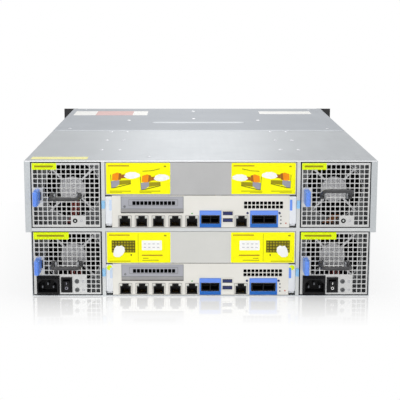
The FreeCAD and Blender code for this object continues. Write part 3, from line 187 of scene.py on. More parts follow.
# Epoxy board under solder mask: green film over copper lines, square copper fields and plated holes
def solder_mask(name):
    unit, routing_size, hole_apart = 10, 34, 6
    surface, tree, shader, place = new_surface(name, {"Roughness": 0.34, "IOR": 1.55})
    # An eighth of a turn about X lays the same pattern on boards that lie flat and boards that stand
    laid = add_node(tree, "Mapping", {"Rotation": (math.pi / 4, 0, 0), "Scale": (1, 1.41, 1.41)},
                    {"Vector": place})
    fields = add_node(tree, "TexBrick", {"Scale": per_metre(unit), "Mortar Size": 0.3 / unit,
                                         "Brick Width": 42 / unit, "Row Height": 26 / unit, "offset": 0.37,
                                         "Color1": linear("#0e5030"), "Color2": linear("#0b4127"),
                                         "Mortar": linear("#083420")}, {"Vector": laid.outputs["Vector"]})
    # Lines are near 0.2 mm and are drawn at 0.5 mm so that they show
    lines = add_node(tree, "TexBrick", {"Scale": per_metre(unit), "Mortar Size": 0.25 / unit,
                                        "Brick Width": 31 / unit, "Row Height": 2 / unit, "offset": 0.43,
                                        "Color1": (0, 0, 0, 1), "Color2": (0, 0, 0, 1),
                                        "Mortar": (1, 1, 1, 1)}, {"Vector": laid.outputs["Vector"]})
    routing = add_node(tree, "TexNoise", {"Scale": per_metre(routing_size), "Detail": 0.0},
                       {"Vector": place})
    routed = add_node(tree, "Math", {"operation": "GREATER_THAN", 1: 0.5}, {0: routing.outputs["Fac"]})
    shown = add_node(tree, "Math", {"operation": "MULTIPLY"},
                     {0: routed.outputs[0], 1: lines.outputs["Color"]})
    etched = add_node(tree, "Mix", {"data_type": "RGBA", 7: linear("#2c8552")},
                      {0: shown.outputs[0], 6: fields.outputs["Color"]})
    spots = add_node(tree, "TexVoronoi", {"Scale": per_metre(hole_apart)}, {"Vector": place})
    hole = add_node(tree, "Math", {"operation": "LESS_THAN", 1: 0.13}, {0: spots.outputs["Distance"]})
    tint = add_node(tree, "Mix", {"data_type": "RGBA", 7: linear("#b9a96a")},
                    {0: hole.outputs[0], 6: etched.outputs[2]})
    bump = add_node(tree, "Bump", {"Strength": 0.15, "Distance": 0.1 * MM}, {"Height": shown.outputs[0]})
    feed(tree, shader, {"Base Color": tint.outputs[2], "Normal": bump.outputs["Normal"]})
    return surface


# Acrylic, moulded clear or tinted: a small lens that looks lit from within
def acrylic_lens(name, colour, pale, glow):
    cloud_size = 1.5
    sockets = {"Roughness": 0.12, "IOR": 1.49, "Transmission Weight": 0.3, "Emission Strength": glow,
               "Emission Color": linear(colour)}
    surface, tree, shader, place = new_surface(name, sockets)
    cloud = add_node(tree, "TexNoise", {"Scale": per_metre(cloud_size)}, {"Vector": place})
    tint = add_node(tree, "Mix", {"data_type": "RGBA", 6: linear(colour), 7: linear(pale)},
                    {0: cloud.outputs["Fac"]})
    feed(tree, shader, {"Base Color": tint.outputs[2]})
    return surface


TUB_STEEL = galvanised_steel("galvanised_steel_tub", "#c9cdcf", "#b4b8bb")
COVER_STEEL = galvanised_steel("galvanised_steel_cover", "#c4c8cb", "#aeb2b6")
LID_STEEL = galvanised_steel("galvanised_steel_lid", "#b6babf", "#a1a5aa", roughness=0.5)
# A lighter copy of the cover's galvanised steel, a painted highlight on the front cover's hem and pressed
# bead
HIGHLIGHT_BEAD_STEEL = galvanised_steel("galvanised_steel_bead_painted_highlight", "#ccd0d4", "#bbbfc3", roughness=0.4)
FRAME_STEEL = galvanised_steel("galvanised_steel_frame", "#d9dbdb", "#c2c5c6", streak_turn=1.57)
MODULE_STEEL = satin_nickel("nickel_plated_punched_steel", "#d6d6d4", "#bfc0c0")
# A darker copy of the plated steel, painted shade: the module boxes behind their punched faces, and dark
# lines on the card bracket
SHADED_INNER_STEEL = satin_nickel("nickel_plated_steel_painted_shade", "#9fa1a2", "#86888a")
PANEL_STEEL = satin_nickel("satin_nickel_panel_steel", "#e7e5df", "#d9d7d0", metallic=0.6)
BLANK_STEEL = {"upper": satin_nickel("satin_nickel_upper_blank", "#bbbbbb", "#aeaeae"),
               "lower": satin_nickel("satin_nickel_lower_blank", "#d4d4d0", "#c9c9c5")}
BRACKET_STEEL = satin_nickel("satin_nickel_bracket_steel", "#b2b2b9", "#9d9ea6")
LIP_STEEL = satin_nickel("satin_nickel_folded_lip", "#a6a5a4", "#8f8e8f")
LUG_STEEL = satin_nickel("nickel_plated_bail_lug", "#8d8f91", "#74767a")
WIRE_STEEL = bright_plate("nickel_plated_drawn_wire", "#f1f1f2", "#dcdde0", 0.3)
BLACK_ABS = moulded_plastic("black_moulded_abs", "#18181a", "#0e0e10", 0.45, 0.18)
# Black foam for the module seals and the lead grommets; the seals also stand in as painted shade of the
# gaps beside the modules
GASKET_AND_SHADE_BLACK = moulded_plastic("black_foam_gasket_and_painted_shade", "#1e1e26", "#14141a", 0.8, 0.1)
# Black for the air mesh under the lids' vents, and painted shade: the sheets behind and round the panel's
# vents, the linings of the cage mouths and the slots on the cage roof
MESH_AND_SHADE_BLACK = moulded_plastic("black_air_mesh_and_painted_shade", "#0c0c0e", "#060607", 0.9, 0.05)
BAIL_NYLON = moulded_plastic("dark_grey_moulded_nylon", "#3a3a3c", "#262628", 0.4)
FAN_PLASTIC = moulded_plastic("black_glass_filled_fan_plastic", "#232326", "#161618", 0.5, 0.3)
LATCH_BLUE = moulded_plastic("blue_moulded_abs", "#6b9bf6", "#5a8aec", 0.4)
# A paler copy of the blue touch strip, a painted highlight on the left levers
TOUCH_HIGHLIGHT_BLUE = moulded_plastic("blue_moulded_abs_painted_highlight", "#d3e2f6", "#c3d6f0", 0.45)
CATCH_BLUE = moulded_plastic("light_blue_moulded_abs", "#98cdf0", "#82b9ea", 0.4)
TONGUE_BLUE = moulded_plastic("navy_moulded_contact_block", "#14266a", "#0e1a4c", 0.45)
LEAD_RED = moulded_plastic("red_extruded_wire_sleeve", "#d0736c", "#bd5a54", 0.45)
LEAD_ORANGE = moulded_plastic("orange_extruded_wire_sleeve", "#d98a48", "#c47532", 0.45)
TRAY_BLACK = moulded_plastic("black_moulded_polycarbonate", "#2c2d30", "#1d1e20", 0.45)
BUTTON_GREY = moulded_plastic("grey_moulded_abs", "#6b6d70", "#55575a", 0.45)
BEZEL_BLUE = powder_coat("blue_powder_coated_steel", "#3f84e6", "#3174d6", 0.42)
# Paler and deeper copies of the blue plate: a painted highlight over the cage mouths and a painted shade
# under them
BEZEL_HIGHLIGHT_BLUE = vinyl_film("blue_plate_painted_highlight", "#769cf6", "#6a92ec")
BEZEL_SHADE_BLUE = vinyl_film("blue_plate_painted_shade", "#2c70c6", "#2564b8")
EAR_BLACK = powder_coat("black_powder_coated_steel", "#232325", "#151517", 0.5)
LEVER_WHITE = powder_coat("white_powder_coated_steel", "#eef0f3", "#dfe2e8", 0.4)
STICKER_YELLOW = vinyl_film("yellow_vinyl_film", "#ffff00", "#fffa00")
LABEL_LIME = vinyl_film("lime_vinyl_film", "#ecff12", "#e0f600")
LABEL_PALE = vinyl_film("pale_yellow_vinyl_film", "#f4f0a2", "#ebe68e")
LABEL_WHITE = vinyl_film("white_paper_label", "#f8f8f5", "#efeeea", sheen=0.4)
LABEL_PINK = vinyl_film("pink_paper_label", "#eccfcc", "#e4bfbb", 0.7)
INK_DARK = vinyl_film("dark_olive_ink", "#55511a", "#434012", 0.6)
INK_OLIVE = vinyl_film("olive_ink", "#a89d16", "#938811", 0.6)
INK_GREY = vinyl_film("grey_ink", "#a9a9b4", "#8f8f9c", 0.6)
INK_ORANGE = vinyl_film("orange_ink", "#ff9d1c", "#f08a10", 0.6)
INK_WHITE = vinyl_film("white_ink", "#ffffff", "#f3f3ee", 0.6)
INK_BROWN = vinyl_film("brown_ink", "#b0702a", "#9a5c1e", 0.6)
FOIL_GREY = bright_plate("silvered_foil_label", "#d2d2d4", "#c2c2c5", 0.35)
PORT_TIN = bright_plate("tin_plated_shield", "#e2dfd6", "#cfccc3")
BLADE_NICKEL = bright_plate("nickel_plated_blade", "#6e7074", "#5a5c60", 0.4)
CONTACT_GOLD = bright_plate("gold_plated_contact", "#e8c268", "#c99b3a")
ZINC_BRIGHT = bright_plate("zinc_plated_screw", "#dcdde0", "#b9bbc0")
FIN_ALUMINIUM = bright_plate("extruded_aluminium_fin", "#c9ccd0", "#b0b4ba", 0.3)
BOARD_GREEN = solder_mask("green_solder_mask_board")
LENS_CLEAR = acrylic_lens("clear_acrylic_lens", "#d3dad6", "#e6ebe8", 0.0)
LENS_GREY = acrylic_lens("smoked_acrylic_lens", "#4d504f", "#6a6d6c", 0.0)
LENS_GREEN = acrylic_lens("green_acrylic_lens", "#3fa84a", "#7fd487", 0.12)
LENS_RED = acrylic_lens("red_acrylic_lens", "#c0503f", "#e08a7a", 0.1)


# Mesh tools

def rect(left, low, right, high):
    return [(left, low), (right, low), (right, high), (left, high)]


def around(x, y, half_wide, half_tall):
    return rect(x - half_wide, y - half_tall, x + half_wide, y + half_tall)


def rounded(left, low, right, high, radius, steps=4):
    corners = ((right - radius, low + radius, -90), (right - radius, high - radius, 0),
               (left + radius, high - radius, 90), (left + radius, low + radius, 180))
    outline = []
    for x, y, start in corners:
        for i in range(steps + 1):
            angle = math.radians(start + i * 90 / steps)
            outline.append((x + radius * math.cos(angle), y + radius * math.sin(angle)))
    return outline


# Places of so many things a pitch apart, about a middle at nought
def spread(count, pitch):
    return [(i - (count - 1) / 2) * pitch for i in range(count)]


def ring(x, y, radius, sides):
    angles = [2 * math.pi * i / sides for i in range(sides)]
    return [(x + radius * math.cos(angle), y + radius * math.sin(angle)) for angle in angles]


def mesh_of(curve):
    holder = bpy.data.objects.new("outline", curve)
    mesh = bpy.data.meshes.new_from_object(holder)
    bpy.data.objects.remove(holder)
    return mesh


# A flat piece cut from sheet: the first outline is its rim and the others are holes
def sheet(outlines, thickness, edge=0.0):
    curve = bpy.data.curves.new("sheet", "CURVE")
    curve.dimensions = "2D"
    curve.fill_mode = "BOTH"
    curve.extrude = thickness / 2 - edge
    curve.bevel_depth = edge
    curve.bevel_resolution = 0
    curve.offset = -edge
    for outline in outlines:
        spline = curve.splines.new("POLY")
        spline.points.add(len(outline) - 1)
        for point, (x, y) in zip(spline.points, outline):
            point.co = (x, y, 0, 1)
        spline.use_cyclic_u = True
    return mesh_of(curve)


# A round bar bent along a line of points
def bent_bar(points, radius):
    curve = bpy.data.curves.new("bar", "CURVE")
    curve.dimensions = "3D"
    curve.bevel_depth = radius
    curve.bevel_resolution = 3
    curve.use_fill_caps = True
    spline = curve.splines.new("POLY")
    spline.points.add(len(points) - 1)
    for point, place in zip(spline.points, points):
        point.co = (*place, 1)
    return mesh_of(curve)


# A turned piece: the profile is a line of (radius, height) about the Z axis
def turned(profile, sides=24):
    shape = bmesh.new()
    rings = []
    for radius, height in profile:
        points = ring(0, 0, radius, sides) if radius else [(0, 0)]
        rings.append([shape.verts.new((x, y, height)) for x, y in points])
    for low, high in zip(rings, rings[1:]):
        for i in range(sides):
            j = i + 1
            quad = (low[i % len(low)], low[j % len(low)], high[j % len(high)], high[i % len(high)])
            shape.faces.new(list(dict.fromkeys(quad)))
    mesh = bpy.data.meshes.new("turned")
    bmesh.ops.recalc_face_normals(shape, faces=shape.faces)
    shape.to_mesh(mesh)
    shape.free()
    return mesh


def screw_head(radius, rise):
    slot_depth = rise * 0.45
    return turned([(radius, 0), (radius, rise * 0.5), (radius * 0.75, rise), (radius * 0.32, rise),
                   (radius * 0.3, rise - slot_depth), (0, rise - slot_depth)], 20)


def at(x, y, z):
    return Matrix.Translation((x, y, z))


def turn(degrees, axis):
    return Matrix.Rotation(math.radians(degrees), 4, axis)


# Sheets lie level as drawn; these turn one to face the rear, the front or the right-hand side
def facing_rear(x, y, z):
    return at(x, y, z) @ turn(90, "X")


def facing_front(x, y, z):
    return at(x, y, z) @ turn(180, "Z") @ turn(90, "X")


def facing_side(x, y, z):
    return at(x, y, z) @ Matrix(((0, 0, 1, 0), (1, 0, 0, 0), (0, 1, 0, 0), (0, 0, 0, 1)))


# A piece cut from sheet that stands upright and reaches from a plane towards the rear by its thickness
def panel(outlines, thickness, finish, x, plane, z, edge=0.0):
    return (sheet(outlines, thickness, edge), finish, facing_rear(x, plane - thickness / 2, z))


# A piece cut from sheet that lies level and reaches upwards from its underside by its thickness
def slab(outlines, thickness, finish, x, y, under, edge=0.0):
    return (sheet(outlines, thickness, edge), finish, at(x, y, under + thickness / 2))


# Points closer than this, in metres, are one point, and edges steeper than this are sharp
WELD_DISTANCE, SHARP_ANGLE = 1e-6, math.radians(35)


# One object from a list of mesh, finish and place, riding on its body
def assemble(name, body, pieces, stands_for=()):
    shape = bmesh.new()
    finishes = []
    for mesh, finish, place in pieces:
        if finish not in finishes:
            finishes.append(finish)
        first_vert, first_face = len(shape.verts), len(shape.faces)
        shape.from_mesh(mesh)
        bmesh.ops.transform(shape, matrix=place, verts=shape.verts[first_vert:])
        for face in shape.faces[first_face:]:
            face.material_index = finishes.index(finish)
            face.smooth = True
    bmesh.ops.scale(shape, vec=(MM, MM, MM), verts=shape.verts)
    bmesh.ops.remove_doubles(shape, verts=shape.verts, dist=WELD_DISTANCE)
    mesh = bpy.data.meshes.new(name)
    shape.to_mesh(mesh)
    shape.free()
    for finish in finishes:
        mesh.materials.append(finish)
    mesh.set_sharp_from_angle(angle=SHARP_ANGLE)
    thing = bpy.data.objects.new(name, mesh)
    bpy.context.scene.collection.objects.link(thing)
    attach(thing, body)
    if stands_for:
        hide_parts(*stands_for)


# A node from the CAD keeps its shape and gets its finish and broken edges
def dress(node, finish, edge):
    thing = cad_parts[node]
    thing.material_slots[0].material = finish
    weld = thing.modifiers.new("weld", "WELD")
    weld.merge_threshold = WELD_DISTANCE
    flat = thing.modifiers.new("flat", "DECIMATE")
    flat.decimate_type = "DISSOLVE"
    flat.angle_limit = math.radians(1)
    bevel = thing.modifiers.new("edge", "BEVEL")
    bevel.width = edge * MM
    bevel.segments = 2
    bevel.limit_method = "ANGLE"
    bevel.angle_limit = math.radians(40)


# Finish and edge radius of each node that is shown as the CAD made it
def dress_cad():
    dress("chassis_tub", TUB_STEEL, 0.4)
    dress("bay_frame", FRAME_STEEL, 0.3)
    dress("top_cover_rear", COVER_STEEL, 0.4)
    dress("top_cover_front", LID_STEEL, 0.4)
    dress("power_button", BUTTON_GREY, 0.5)
    dress("lever_catches", CATCH_BLUE, 0.4)
    dress("drive_cage", FRAME_STEEL, 0.2)
    dress("midplane", BOARD_GREEN, 0.2)
    for row in ROWS:
        dress("blank_panel_" + row, BLANK_STEEL[row], 0.3)
        dress("controller_tray_" + row, PANEL_STEEL, 0.2)
        dress("io_ports_" + row, PORT_TIN, 0.15)
        dress("port_bezels_" + row, BEZEL_BLUE, 0.3)
        dress("card_bracket_" + row, BRACKET_STEEL, 0.15)
        for side in SIDES:
            dress(f"eject_lever_{row}_{side}", LEVER_WHITE, 0.5)
    for side in SIDES:
        dress("rack_ear_" + side, EAR_BLACK, 0.8)
        dress("power_entry_" + side, BLACK_ABS, 0.5)
        dress("rocker_" + side, BLACK_ABS, 0.4)
        dress("fan_frame_" + side, FAN_PLASTIC, 0.4)
        dress("psu_fan_frame_" + side, FAN_PLASTIC, 0.4)
        for kind in MODULE_ROW:
            dress(f"{kind}_rotor_{side}", FAN_PLASTIC, 0.2)
            dress(f"{kind}_latch_{side}", LATCH_BLUE, 0.6)


# Fan and power modules: folded steel boxes with a punched face, measured from their lower left corner

FACE_SHEET, BOX_SHEET, EASED = 1.2, 1.0, 0.1
HOLE_PITCH, HOLE_WIDTH, HOLE_CORNER = 6.0, 4.9, 0.5
HOLE_FIRST = {"fan": (2.725, 3.55), "psu": (2.725, 3.05)}
COLUMNS, HOLE_ROWS = 14, 13
# Spans left unpunched: first row, last row, first column, last column
UNPUNCHED = {"fan": ((0, 1, 8, 10), (4, 7, 0, 1), (12, 12, 0, 4)),
             "psu": ((0, 3, 0, 10), (4, 7, 0, 1), (12, 12, 0, 6))}
LATCH_SLOT = (5.4, 35.1, 12.6, 45.7)
INLET, INLET_HALF = (19.0, 13.4), (13.85, 9.95)
SWITCH, SWITCH_HALF = (42.7, 13.4), (5.95, 8.75)
PIVOT_OUT, PIVOT_RISE = 4.5, 41.5
LUG_RADIUS, LUG_SHEET, LUG_PLACES = 4, 2.4, (30.075, 58.275)
SEAL_SHEET, SEAL_LAP, SEAL_BAND = 0.2, 0.4, 0.7
# Band of the seal that shows at the left and the right edge of the face; its black is partly foam and
# partly painted shade of the gap beside the module, drawn widest on the module's inner side
SEAL_SHADE_SIDES = {"left": (0.7, 1.3), "right": (1.1, 0.7)}
LID_VENTS, LID_VENT_FIRST, LID_VENT_WIDTH = 12, 10, 3.4
# Ends of the lid's vents, counted from the back of the box
LID_VENT_START, LID_VENT_END = 42, 12
FAN_BORE, FAN_SETBACK, GUARD_SHIFT = 38.0, 46.0, 3.5


def grille_holes(kind):
    left, low = HOLE_FIRST[kind]
    holes = []
    for row in range(HOLE_ROWS):
        for column in range(COLUMNS):
            blocked = [span for span in UNPUNCHED[kind]
                       if span[0] <= row <= span[1] and span[2] <= column <= span[3]]
            if not blocked:
                x, z = left + column * HOLE_PITCH, low + row * HOLE_PITCH
                holes.append(rounded(x, z, x + HOLE_WIDTH, z + HOLE_WIDTH, HOLE_CORNER, 1))
    return holes


# Ear that carries one end of the bail: straight at the face, round about the pivot
def bail_lug():
    outline = [(FACE_SHEET / 2, PIVOT_RISE - LUG_RADIUS), (FACE_SHEET / 2, PIVOT_RISE + LUG_RADIUS)]
    for degrees in range(90, 271, 20):
        angle = math.radians(degrees)
        out, rise = LUG_RADIUS * math.cos(angle), LUG_RADIUS * math.sin(angle)
        outline.append((out - PIVOT_OUT, rise + PIVOT_RISE))
    return sheet([outline], LUG_SHEET, 0.3)


def lid_vents(depth):
    vents = []
    for i in range(LID_VENTS):
        x = LID_VENT_FIRST + HOLE_PITCH * i
        vents.append(rounded(x, depth - LID_VENT_START, x + LID_VENT_WIDTH, depth - LID_VENT_END, 1.6, 3))
    return vents


def seal_and_gap_shade_outlines(side, height):
    near, far = SEAL_SHADE_SIDES[side]
    return [rect(-SEAL_LAP, -SEAL_LAP, MODULE_WIDTH + SEAL_LAP, height + SEAL_LAP),
            rect(near, SEAL_BAND, MODULE_WIDTH - far, height - SEAL_BAND)]


def make_housing(kind, side):
    left, floor = MODULE_LEFT[side], MODULE_FLOOR[kind]
    height, depth = MODULE_HEIGHT[kind], MODULE_DEPTH[kind]
    inner_right, half_sheet = MODULE_WIDTH - BOX_SHEET, BOX_SHEET / 2
    face = [rect(0, 0, MODULE_WIDTH, height)] + grille_holes(kind) + [rect(*LATCH_SLOT)]
    if kind == "psu":
        face += [around(*INLET, *INLET_HALF), around(*SWITCH, *SWITCH_HALF)]
    wall = sheet([rect(FACE_SHEET, 0, depth, height)], BOX_SHEET, EASED)
    base = [rect(BOX_SHEET, FACE_SHEET, inner_right, depth)]
    lid_under = floor + height - BOX_SHEET
    cross = rect(BOX_SHEET, BOX_SHEET, inner_right, height - BOX_SHEET)
    bore = ring(MODULE_WIDTH / 2 + GUARD_SHIFT, height / 2, FAN_BORE, 48)
    pieces = [
        panel(face, FACE_SHEET, MODULE_STEEL, left, FACE + FACE_SHEET, floor, 0.15),
        panel(seal_and_gap_shade_outlines(side, height), SEAL_SHEET, GASKET_AND_SHADE_BLACK, left, FACE, floor),
        (wall, SHADED_INNER_STEEL, facing_side(left + half_sheet, FACE, floor)),
        (wall, SHADED_INNER_STEEL, facing_side(left + MODULE_WIDTH - half_sheet, FACE, floor)),
        slab(base, BOX_SHEET, SHADED_INNER_STEEL, left, FACE, floor, EASED),
        slab(base + lid_vents(depth), BOX_SHEET, SHADED_INNER_STEEL, left, FACE, lid_under, EASED),
        panel([cross, bore], BOX_SHEET, SHADED_INNER_STEEL, left, FACE + FAN_SETBACK + BOX_SHEET, floor, EASED),
    ]
    for offset in LUG_PLACES:
        pieces.append((bail_lug(), LUG_STEEL, facing_side(left + offset, FACE, floor)))
    if kind == "psu":
        pieces.append(panel([cross], BOX_SHEET, SHADED_INNER_STEEL, left, FACE + depth, floor, EASED))
    assemble(f"{kind}_punched_housing_{side}", f"{kind}_module_{side}", pieces,
             (f"{kind}_housing_{side}", f"{kind}_guard_{side}"))


GUARD_WIRE, STRUT_HALF, STRUT_SHEET = 1.1, 1.6, 1.4
MOTOR_LABEL = [(0, 0.5), (16.6, 0.5), (17, 0.2), (17, 0)]
# Points of the fan leads from the guard's middle: across, up, out
LEAD_DOWN = [(1, -15.6, 0.6), (2.5, -19, 2.8), (3, -25, 3.2), (2, -31, 3.2), (0, -36, 0.6)]
LEAD_FORWARD = [(3, -15.6, 0.6), (4.2, -19, 2.8), (4.2, -26, 3.4), (3.4, -32, 6), (1.6, -37, 11),
                (0, -39.8, 18), (-0.4, -40, 23), (-0.4, -40.6, 26.4)]
LEAD_ACROSS = [(3, -37.4, 0.6), (2.6, -33.6, 3.4), (0.6, -34.4, 8), (-3.4, -37.8, 13.6),
               (-8.6, -39.8, 19), (-11.6, -40, 23), (-12, -40.6, 26.4)]
# Route, colour and spacing of each fan's leads
LEADS = {("fan", "left"): (LEAD_FORWARD, LEAD_RED, 2.8),
         ("fan", "right"): (LEAD_ACROSS, LEAD_ORANGE, 2.8),
         ("psu", "left"): (LEAD_DOWN, LEAD_RED, 4.2),
         ("psu", "right"): (LEAD_DOWN, LEAD_RED, 4.2)}
LEAD_COUNT, LEAD_RADIUS, LEAD_OUT = 4, 0.9, 0.6


# The motor's foil label and leads face the grille, and a wire guard stands before the blades
def make_fan_front(kind, side):
    rim = FAN_BORE - 0.6
    disc = turned(MOTOR_LABEL, 48)
    hoop = bent_bar([(x, z, 0) for x, z in ring(0, 0, rim, 48) + [(rim, 0)]], GUARD_WIRE)
    strut = sheet([rounded(15.5, -STRUT_HALF, FAN_BORE + 4, STRUT_HALF, 0.8, 3)], STRUT_SHEET, 0.4)
    middle = facing_rear(MODULE_LEFT[side] + MODULE_WIDTH / 2 + GUARD_SHIFT, FACE + FAN_SETBACK,
                         MODULE_FLOOR[kind] + MODULE_HEIGHT[kind] / 2)
    pieces = [(disc, FOIL_GREY, middle @ at(0, 0, STRUT_SHEET)),
              (hoop, WIRE_STEEL, middle @ at(0, 0, GUARD_WIRE))]
    for degrees in (45, 135, 225, 315):
        pieces.append((strut, WIRE_STEEL, middle @ turn(degrees, "Z") @ at(0, 0, STRUT_SHEET / 2)))
    route, finish, apart = LEADS[kind, side]
    for aside in spread(LEAD_COUNT, apart):
        pieces.append((bent_bar(route, LEAD_RADIUS), finish, middle @ at(aside, 0, LEAD_OUT)))
    if kind == "fan":
        grommet = sheet([rounded(-7, -2.4, 7, 2.4, 2.2, 4)], 1.6, 0.3)
        pieces.append((grommet, GASKET_AND_SHADE_BLACK, middle @ at(*route[-1]) @ turn(-90, "X")))
    assemble(f"{kind}_fan_front_{side}", f"{kind}_module_{side}", pieces)


LAP_SHEET, LAP_EDGE = 0.2, 0.05
# The mesh under the lid's vents: its sheet, how far under the roof it lies, and how far it overlaps them
BACKING_SHEET, BACKING_DROP, BACKING_MARGIN, BACKING_LAP = 0.3, 1.45, 8, 2
FLANGE_START, FLANGE_DEEP, HEM_DEEP = 18, 10, 6
FINGER_START, FINGER_END, FINGER_WIDTH = 3, 14, 4.4


# Folded flanges, screws, spring fingers and vents of a module's box, seen when it is drawn out
def make_module_box(kind, side):
    left, floor = MODULE_LEFT[side], MODULE_FLOOR[kind]
    height, depth = MODULE_HEIGHT[kind], MODULE_DEPTH[kind]
    roof, end, inset = floor + height, depth - 1, 0.4
    flange = sheet([rounded(FLANGE_START, height - FLANGE_DEEP, end, height - inset, 0.8, 2)],
                   LAP_SHEET, LAP_EDGE)
    hem = sheet([rounded(FLANGE_START, inset, end, HEM_DEEP, 0.8, 2)], LAP_SHEET, LAP_EDGE)
    side_finger = sheet([rounded(FINGER_START, 0, FINGER_END, FINGER_WIDTH, 0.6, 2)], LAP_SHEET, LAP_EDGE)
    top_finger = [rounded(0, FINGER_START, FINGER_WIDTH, FINGER_END, 0.6, 2)]
    backing = rect(BACKING_MARGIN, depth - LID_VENT_START - BACKING_LAP,
                   MODULE_WIDTH - BACKING_MARGIN, depth - LID_VENT_END + BACKING_LAP)
    pieces = [slab([backing], BACKING_SHEET, MESH_AND_SHADE_BLACK, left, FACE, roof - BACKING_DROP)]
    for wall, way in ((left - LAP_SHEET / 2, -1), (left + MODULE_WIDTH + LAP_SHEET / 2, 1)):
        pieces += [(flange, SHADED_INNER_STEEL, facing_side(wall, FACE, floor)),
                   (hem, SHADED_INNER_STEEL, facing_side(wall, FACE, floor))]
        for share in (0.12, 0.37, 0.63, 0.88):
            place = at(wall, FACE + depth * share, roof - FLANGE_DEEP / 2) @ turn(way * 90, "Y")
            pieces.append((screw_head(2.2, 0.3), ZINC_BRIGHT, place))
        for step in range(int(height / HOLE_PITCH) - 2):
            place = facing_side(wall, FACE, floor + HOLE_PITCH * (step + 1))
            pieces.append((side_finger, WIRE_STEEL, place))
    for step in range(COLUMNS - 1):
        x = left + HOLE_PITCH * (step + 1)
        pieces.append(slab(top_finger, LAP_SHEET, WIRE_STEEL, x, FACE, roof, LAP_EDGE))
    assemble(f"{kind}_box_details_{side}", f"{kind}_module_{side}", pieces)


BAIL_HALF, BAIL_REACH, BAIL_BEND, BAIL_RADIUS = 17.8, 27.5, 6.0, 2.3
# How far each handle is turned from level, in degrees
BAIL_TURN = {"fan_left": -2, "fan_right": -23, "psu_left": -2, "psu_right": -2}
BAIL_KNOB = [(0, -2.2), (3.4, -2.2), (4.0, -1.6), (4.0, 1.6), (3.4, 2.2), (2.4, 2.2), (2.2, 1.8),
             (0, 1.8)]
BAIL_SLEEVE = [(2.3, -10), (2.5, -9.6), (2.5, 9.6), (2.3, 10)]


def make_bail(kind, side):
    bend_x, bend_y = BAIL_HALF - BAIL_BEND, BAIL_BEND - BAIL_REACH
    arc = [math.radians(degrees) for degrees in range(0, 91, 15)]
    bend = [(BAIL_BEND * math.cos(angle), BAIL_BEND * math.sin(angle)) for angle in arc]
    line = [(-BAIL_HALF, 0, 0)]
    line += [(-bend_x - start, bend_y - end, 0) for start, end in bend]
    line += [(bend_x + end, bend_y - start, 0) for start, end in bend]
    line += [(BAIL_HALF, 0, 0)]
    middle = MODULE_LEFT[side] + MODULE_WIDTH / 2
    pivot = at(middle, FACE - PIVOT_OUT, MODULE_FLOOR[kind] + PIVOT_RISE)
    pivot = pivot @ turn(BAIL_TURN[f"{kind}_{side}"], "X")
    pieces = [(bent_bar(line, BAIL_RADIUS), BAIL_NYLON, pivot),
              (turned(BAIL_SLEEVE, 20), BAIL_NYLON, pivot @ at(0, -BAIL_REACH, 0) @ turn(90, "Y"))]
    for way in (-1, 1):
        place = pivot @ at(way * BAIL_HALF, 0, 0) @ turn(way * 90, "Y")
        pieces.append((turned(BAIL_KNOB), BAIL_NYLON, place))
    assemble(f"{kind}_bail_wire_{side}", f"{kind}_bail_{side}", pieces,
             (f"{kind}_bail_{side}",))


# Grip ribs across the outer end of each release latch
def make_latch_ribs(kind, side):
    low = corner(f"{kind}_latch_{side}", 0)
    first, pitch, count = 4, 3, 5
    rib = sheet([rounded(0.6, -0.45, 5.0, 0.45, 0.4, 2)], 0.7, 0.15)
    pieces = []
    for i in range(count):
        pieces.append((rib, LATCH_BLUE, facing_rear(low.x + 0.3, low.y, low.z + first + pitch * i)))
    assemble(f"{kind}_latch_ribs_{side}", f"{kind}_latch_{side}", pieces)


LAMP_BODY = [(3.0, 0), (3.0, 0.5), (2.7, 0.8), (1.6, 0.8), (1.4, 0.4), (1.4, 0)]
LAMP_LENS = [(1.4, 0), (1.25, 0.4), (0.7, 0.65), (0, 0.7)]
LAMP_SPOTS = {"fan": ((54.95, 8.7),), "psu": ((55.85, 17.8), (56.15, 6.5))}
LAMP_FINISH = {"fan": (BLACK_ABS, LENS_CLEAR), "psu": (BUTTON_GREY, LENS_GREY)}


# A lamp in its collar, with a printed ring beside it
def make_lamps(kind, side):
    left, floor = MODULE_LEFT[side], MODULE_FLOOR[kind]
    shell, glass = LAMP_FINISH[kind]
    print_offset, print_film = 8.0, 0.1
    mark = [ring(0, 0, 1.5, 24), ring(0, 0, 1.0, 24)]
    pieces = []
    for x, z in LAMP_SPOTS[kind]:
        spot = facing_rear(left + x, FACE, floor + z)
        pieces += [(turned(LAMP_BODY), shell, spot), (turned(LAMP_LENS), glass, spot),
                   panel(mark, print_film, INK_GREY, left + x + print_offset, FACE, floor + z)]
    assemble(f"{kind}_lamps_{side}", f"{kind}_module_{side}", pieces)


# Width, lower edge and upper edge of the label in the upper left corner
MODULE_LABEL = {"fan": (31.0, 74.5, 83.0), "psu": (45.2, 73.0, 82.6)}
LABEL_LEFT, LABEL_FILM = 1.3, 0.14
RULE_HALF, RULE_FILM, RULE_SUNK = 1.2, 0.05, 0.005


def make_module_label(kind, side):
    left, floor = MODULE_LEFT[side], MODULE_FLOOR[kind]
    wide, low, high = MODULE_LABEL[kind]
    film = rounded(LABEL_LEFT, low, LABEL_LEFT + wide, high, 0.6, 2)
    rule = around(LABEL_LEFT + wide * 0.48, (low + high) / 2, wide * 0.38, RULE_HALF)
    pieces = [panel([film], LABEL_FILM, LABEL_LIME, left, FACE, floor),
              panel([rule], RULE_FILM, INK_OLIVE, left, FACE - LABEL_FILM + RULE_SUNK, floor)]
    assemble(f"{kind}_label_{side}", f"{kind}_module_{side}", pieces)


INLET_BLADE = [(-2.05, 0), (2.05, 0), (2.05, 11.4), (1.5, 12.05), (-1.5, 12.05), (-2.05, 11.4)]
BLADE_PITCH, BLADE_SHEET, BLADE_ROOT = 7, 2.1, 9


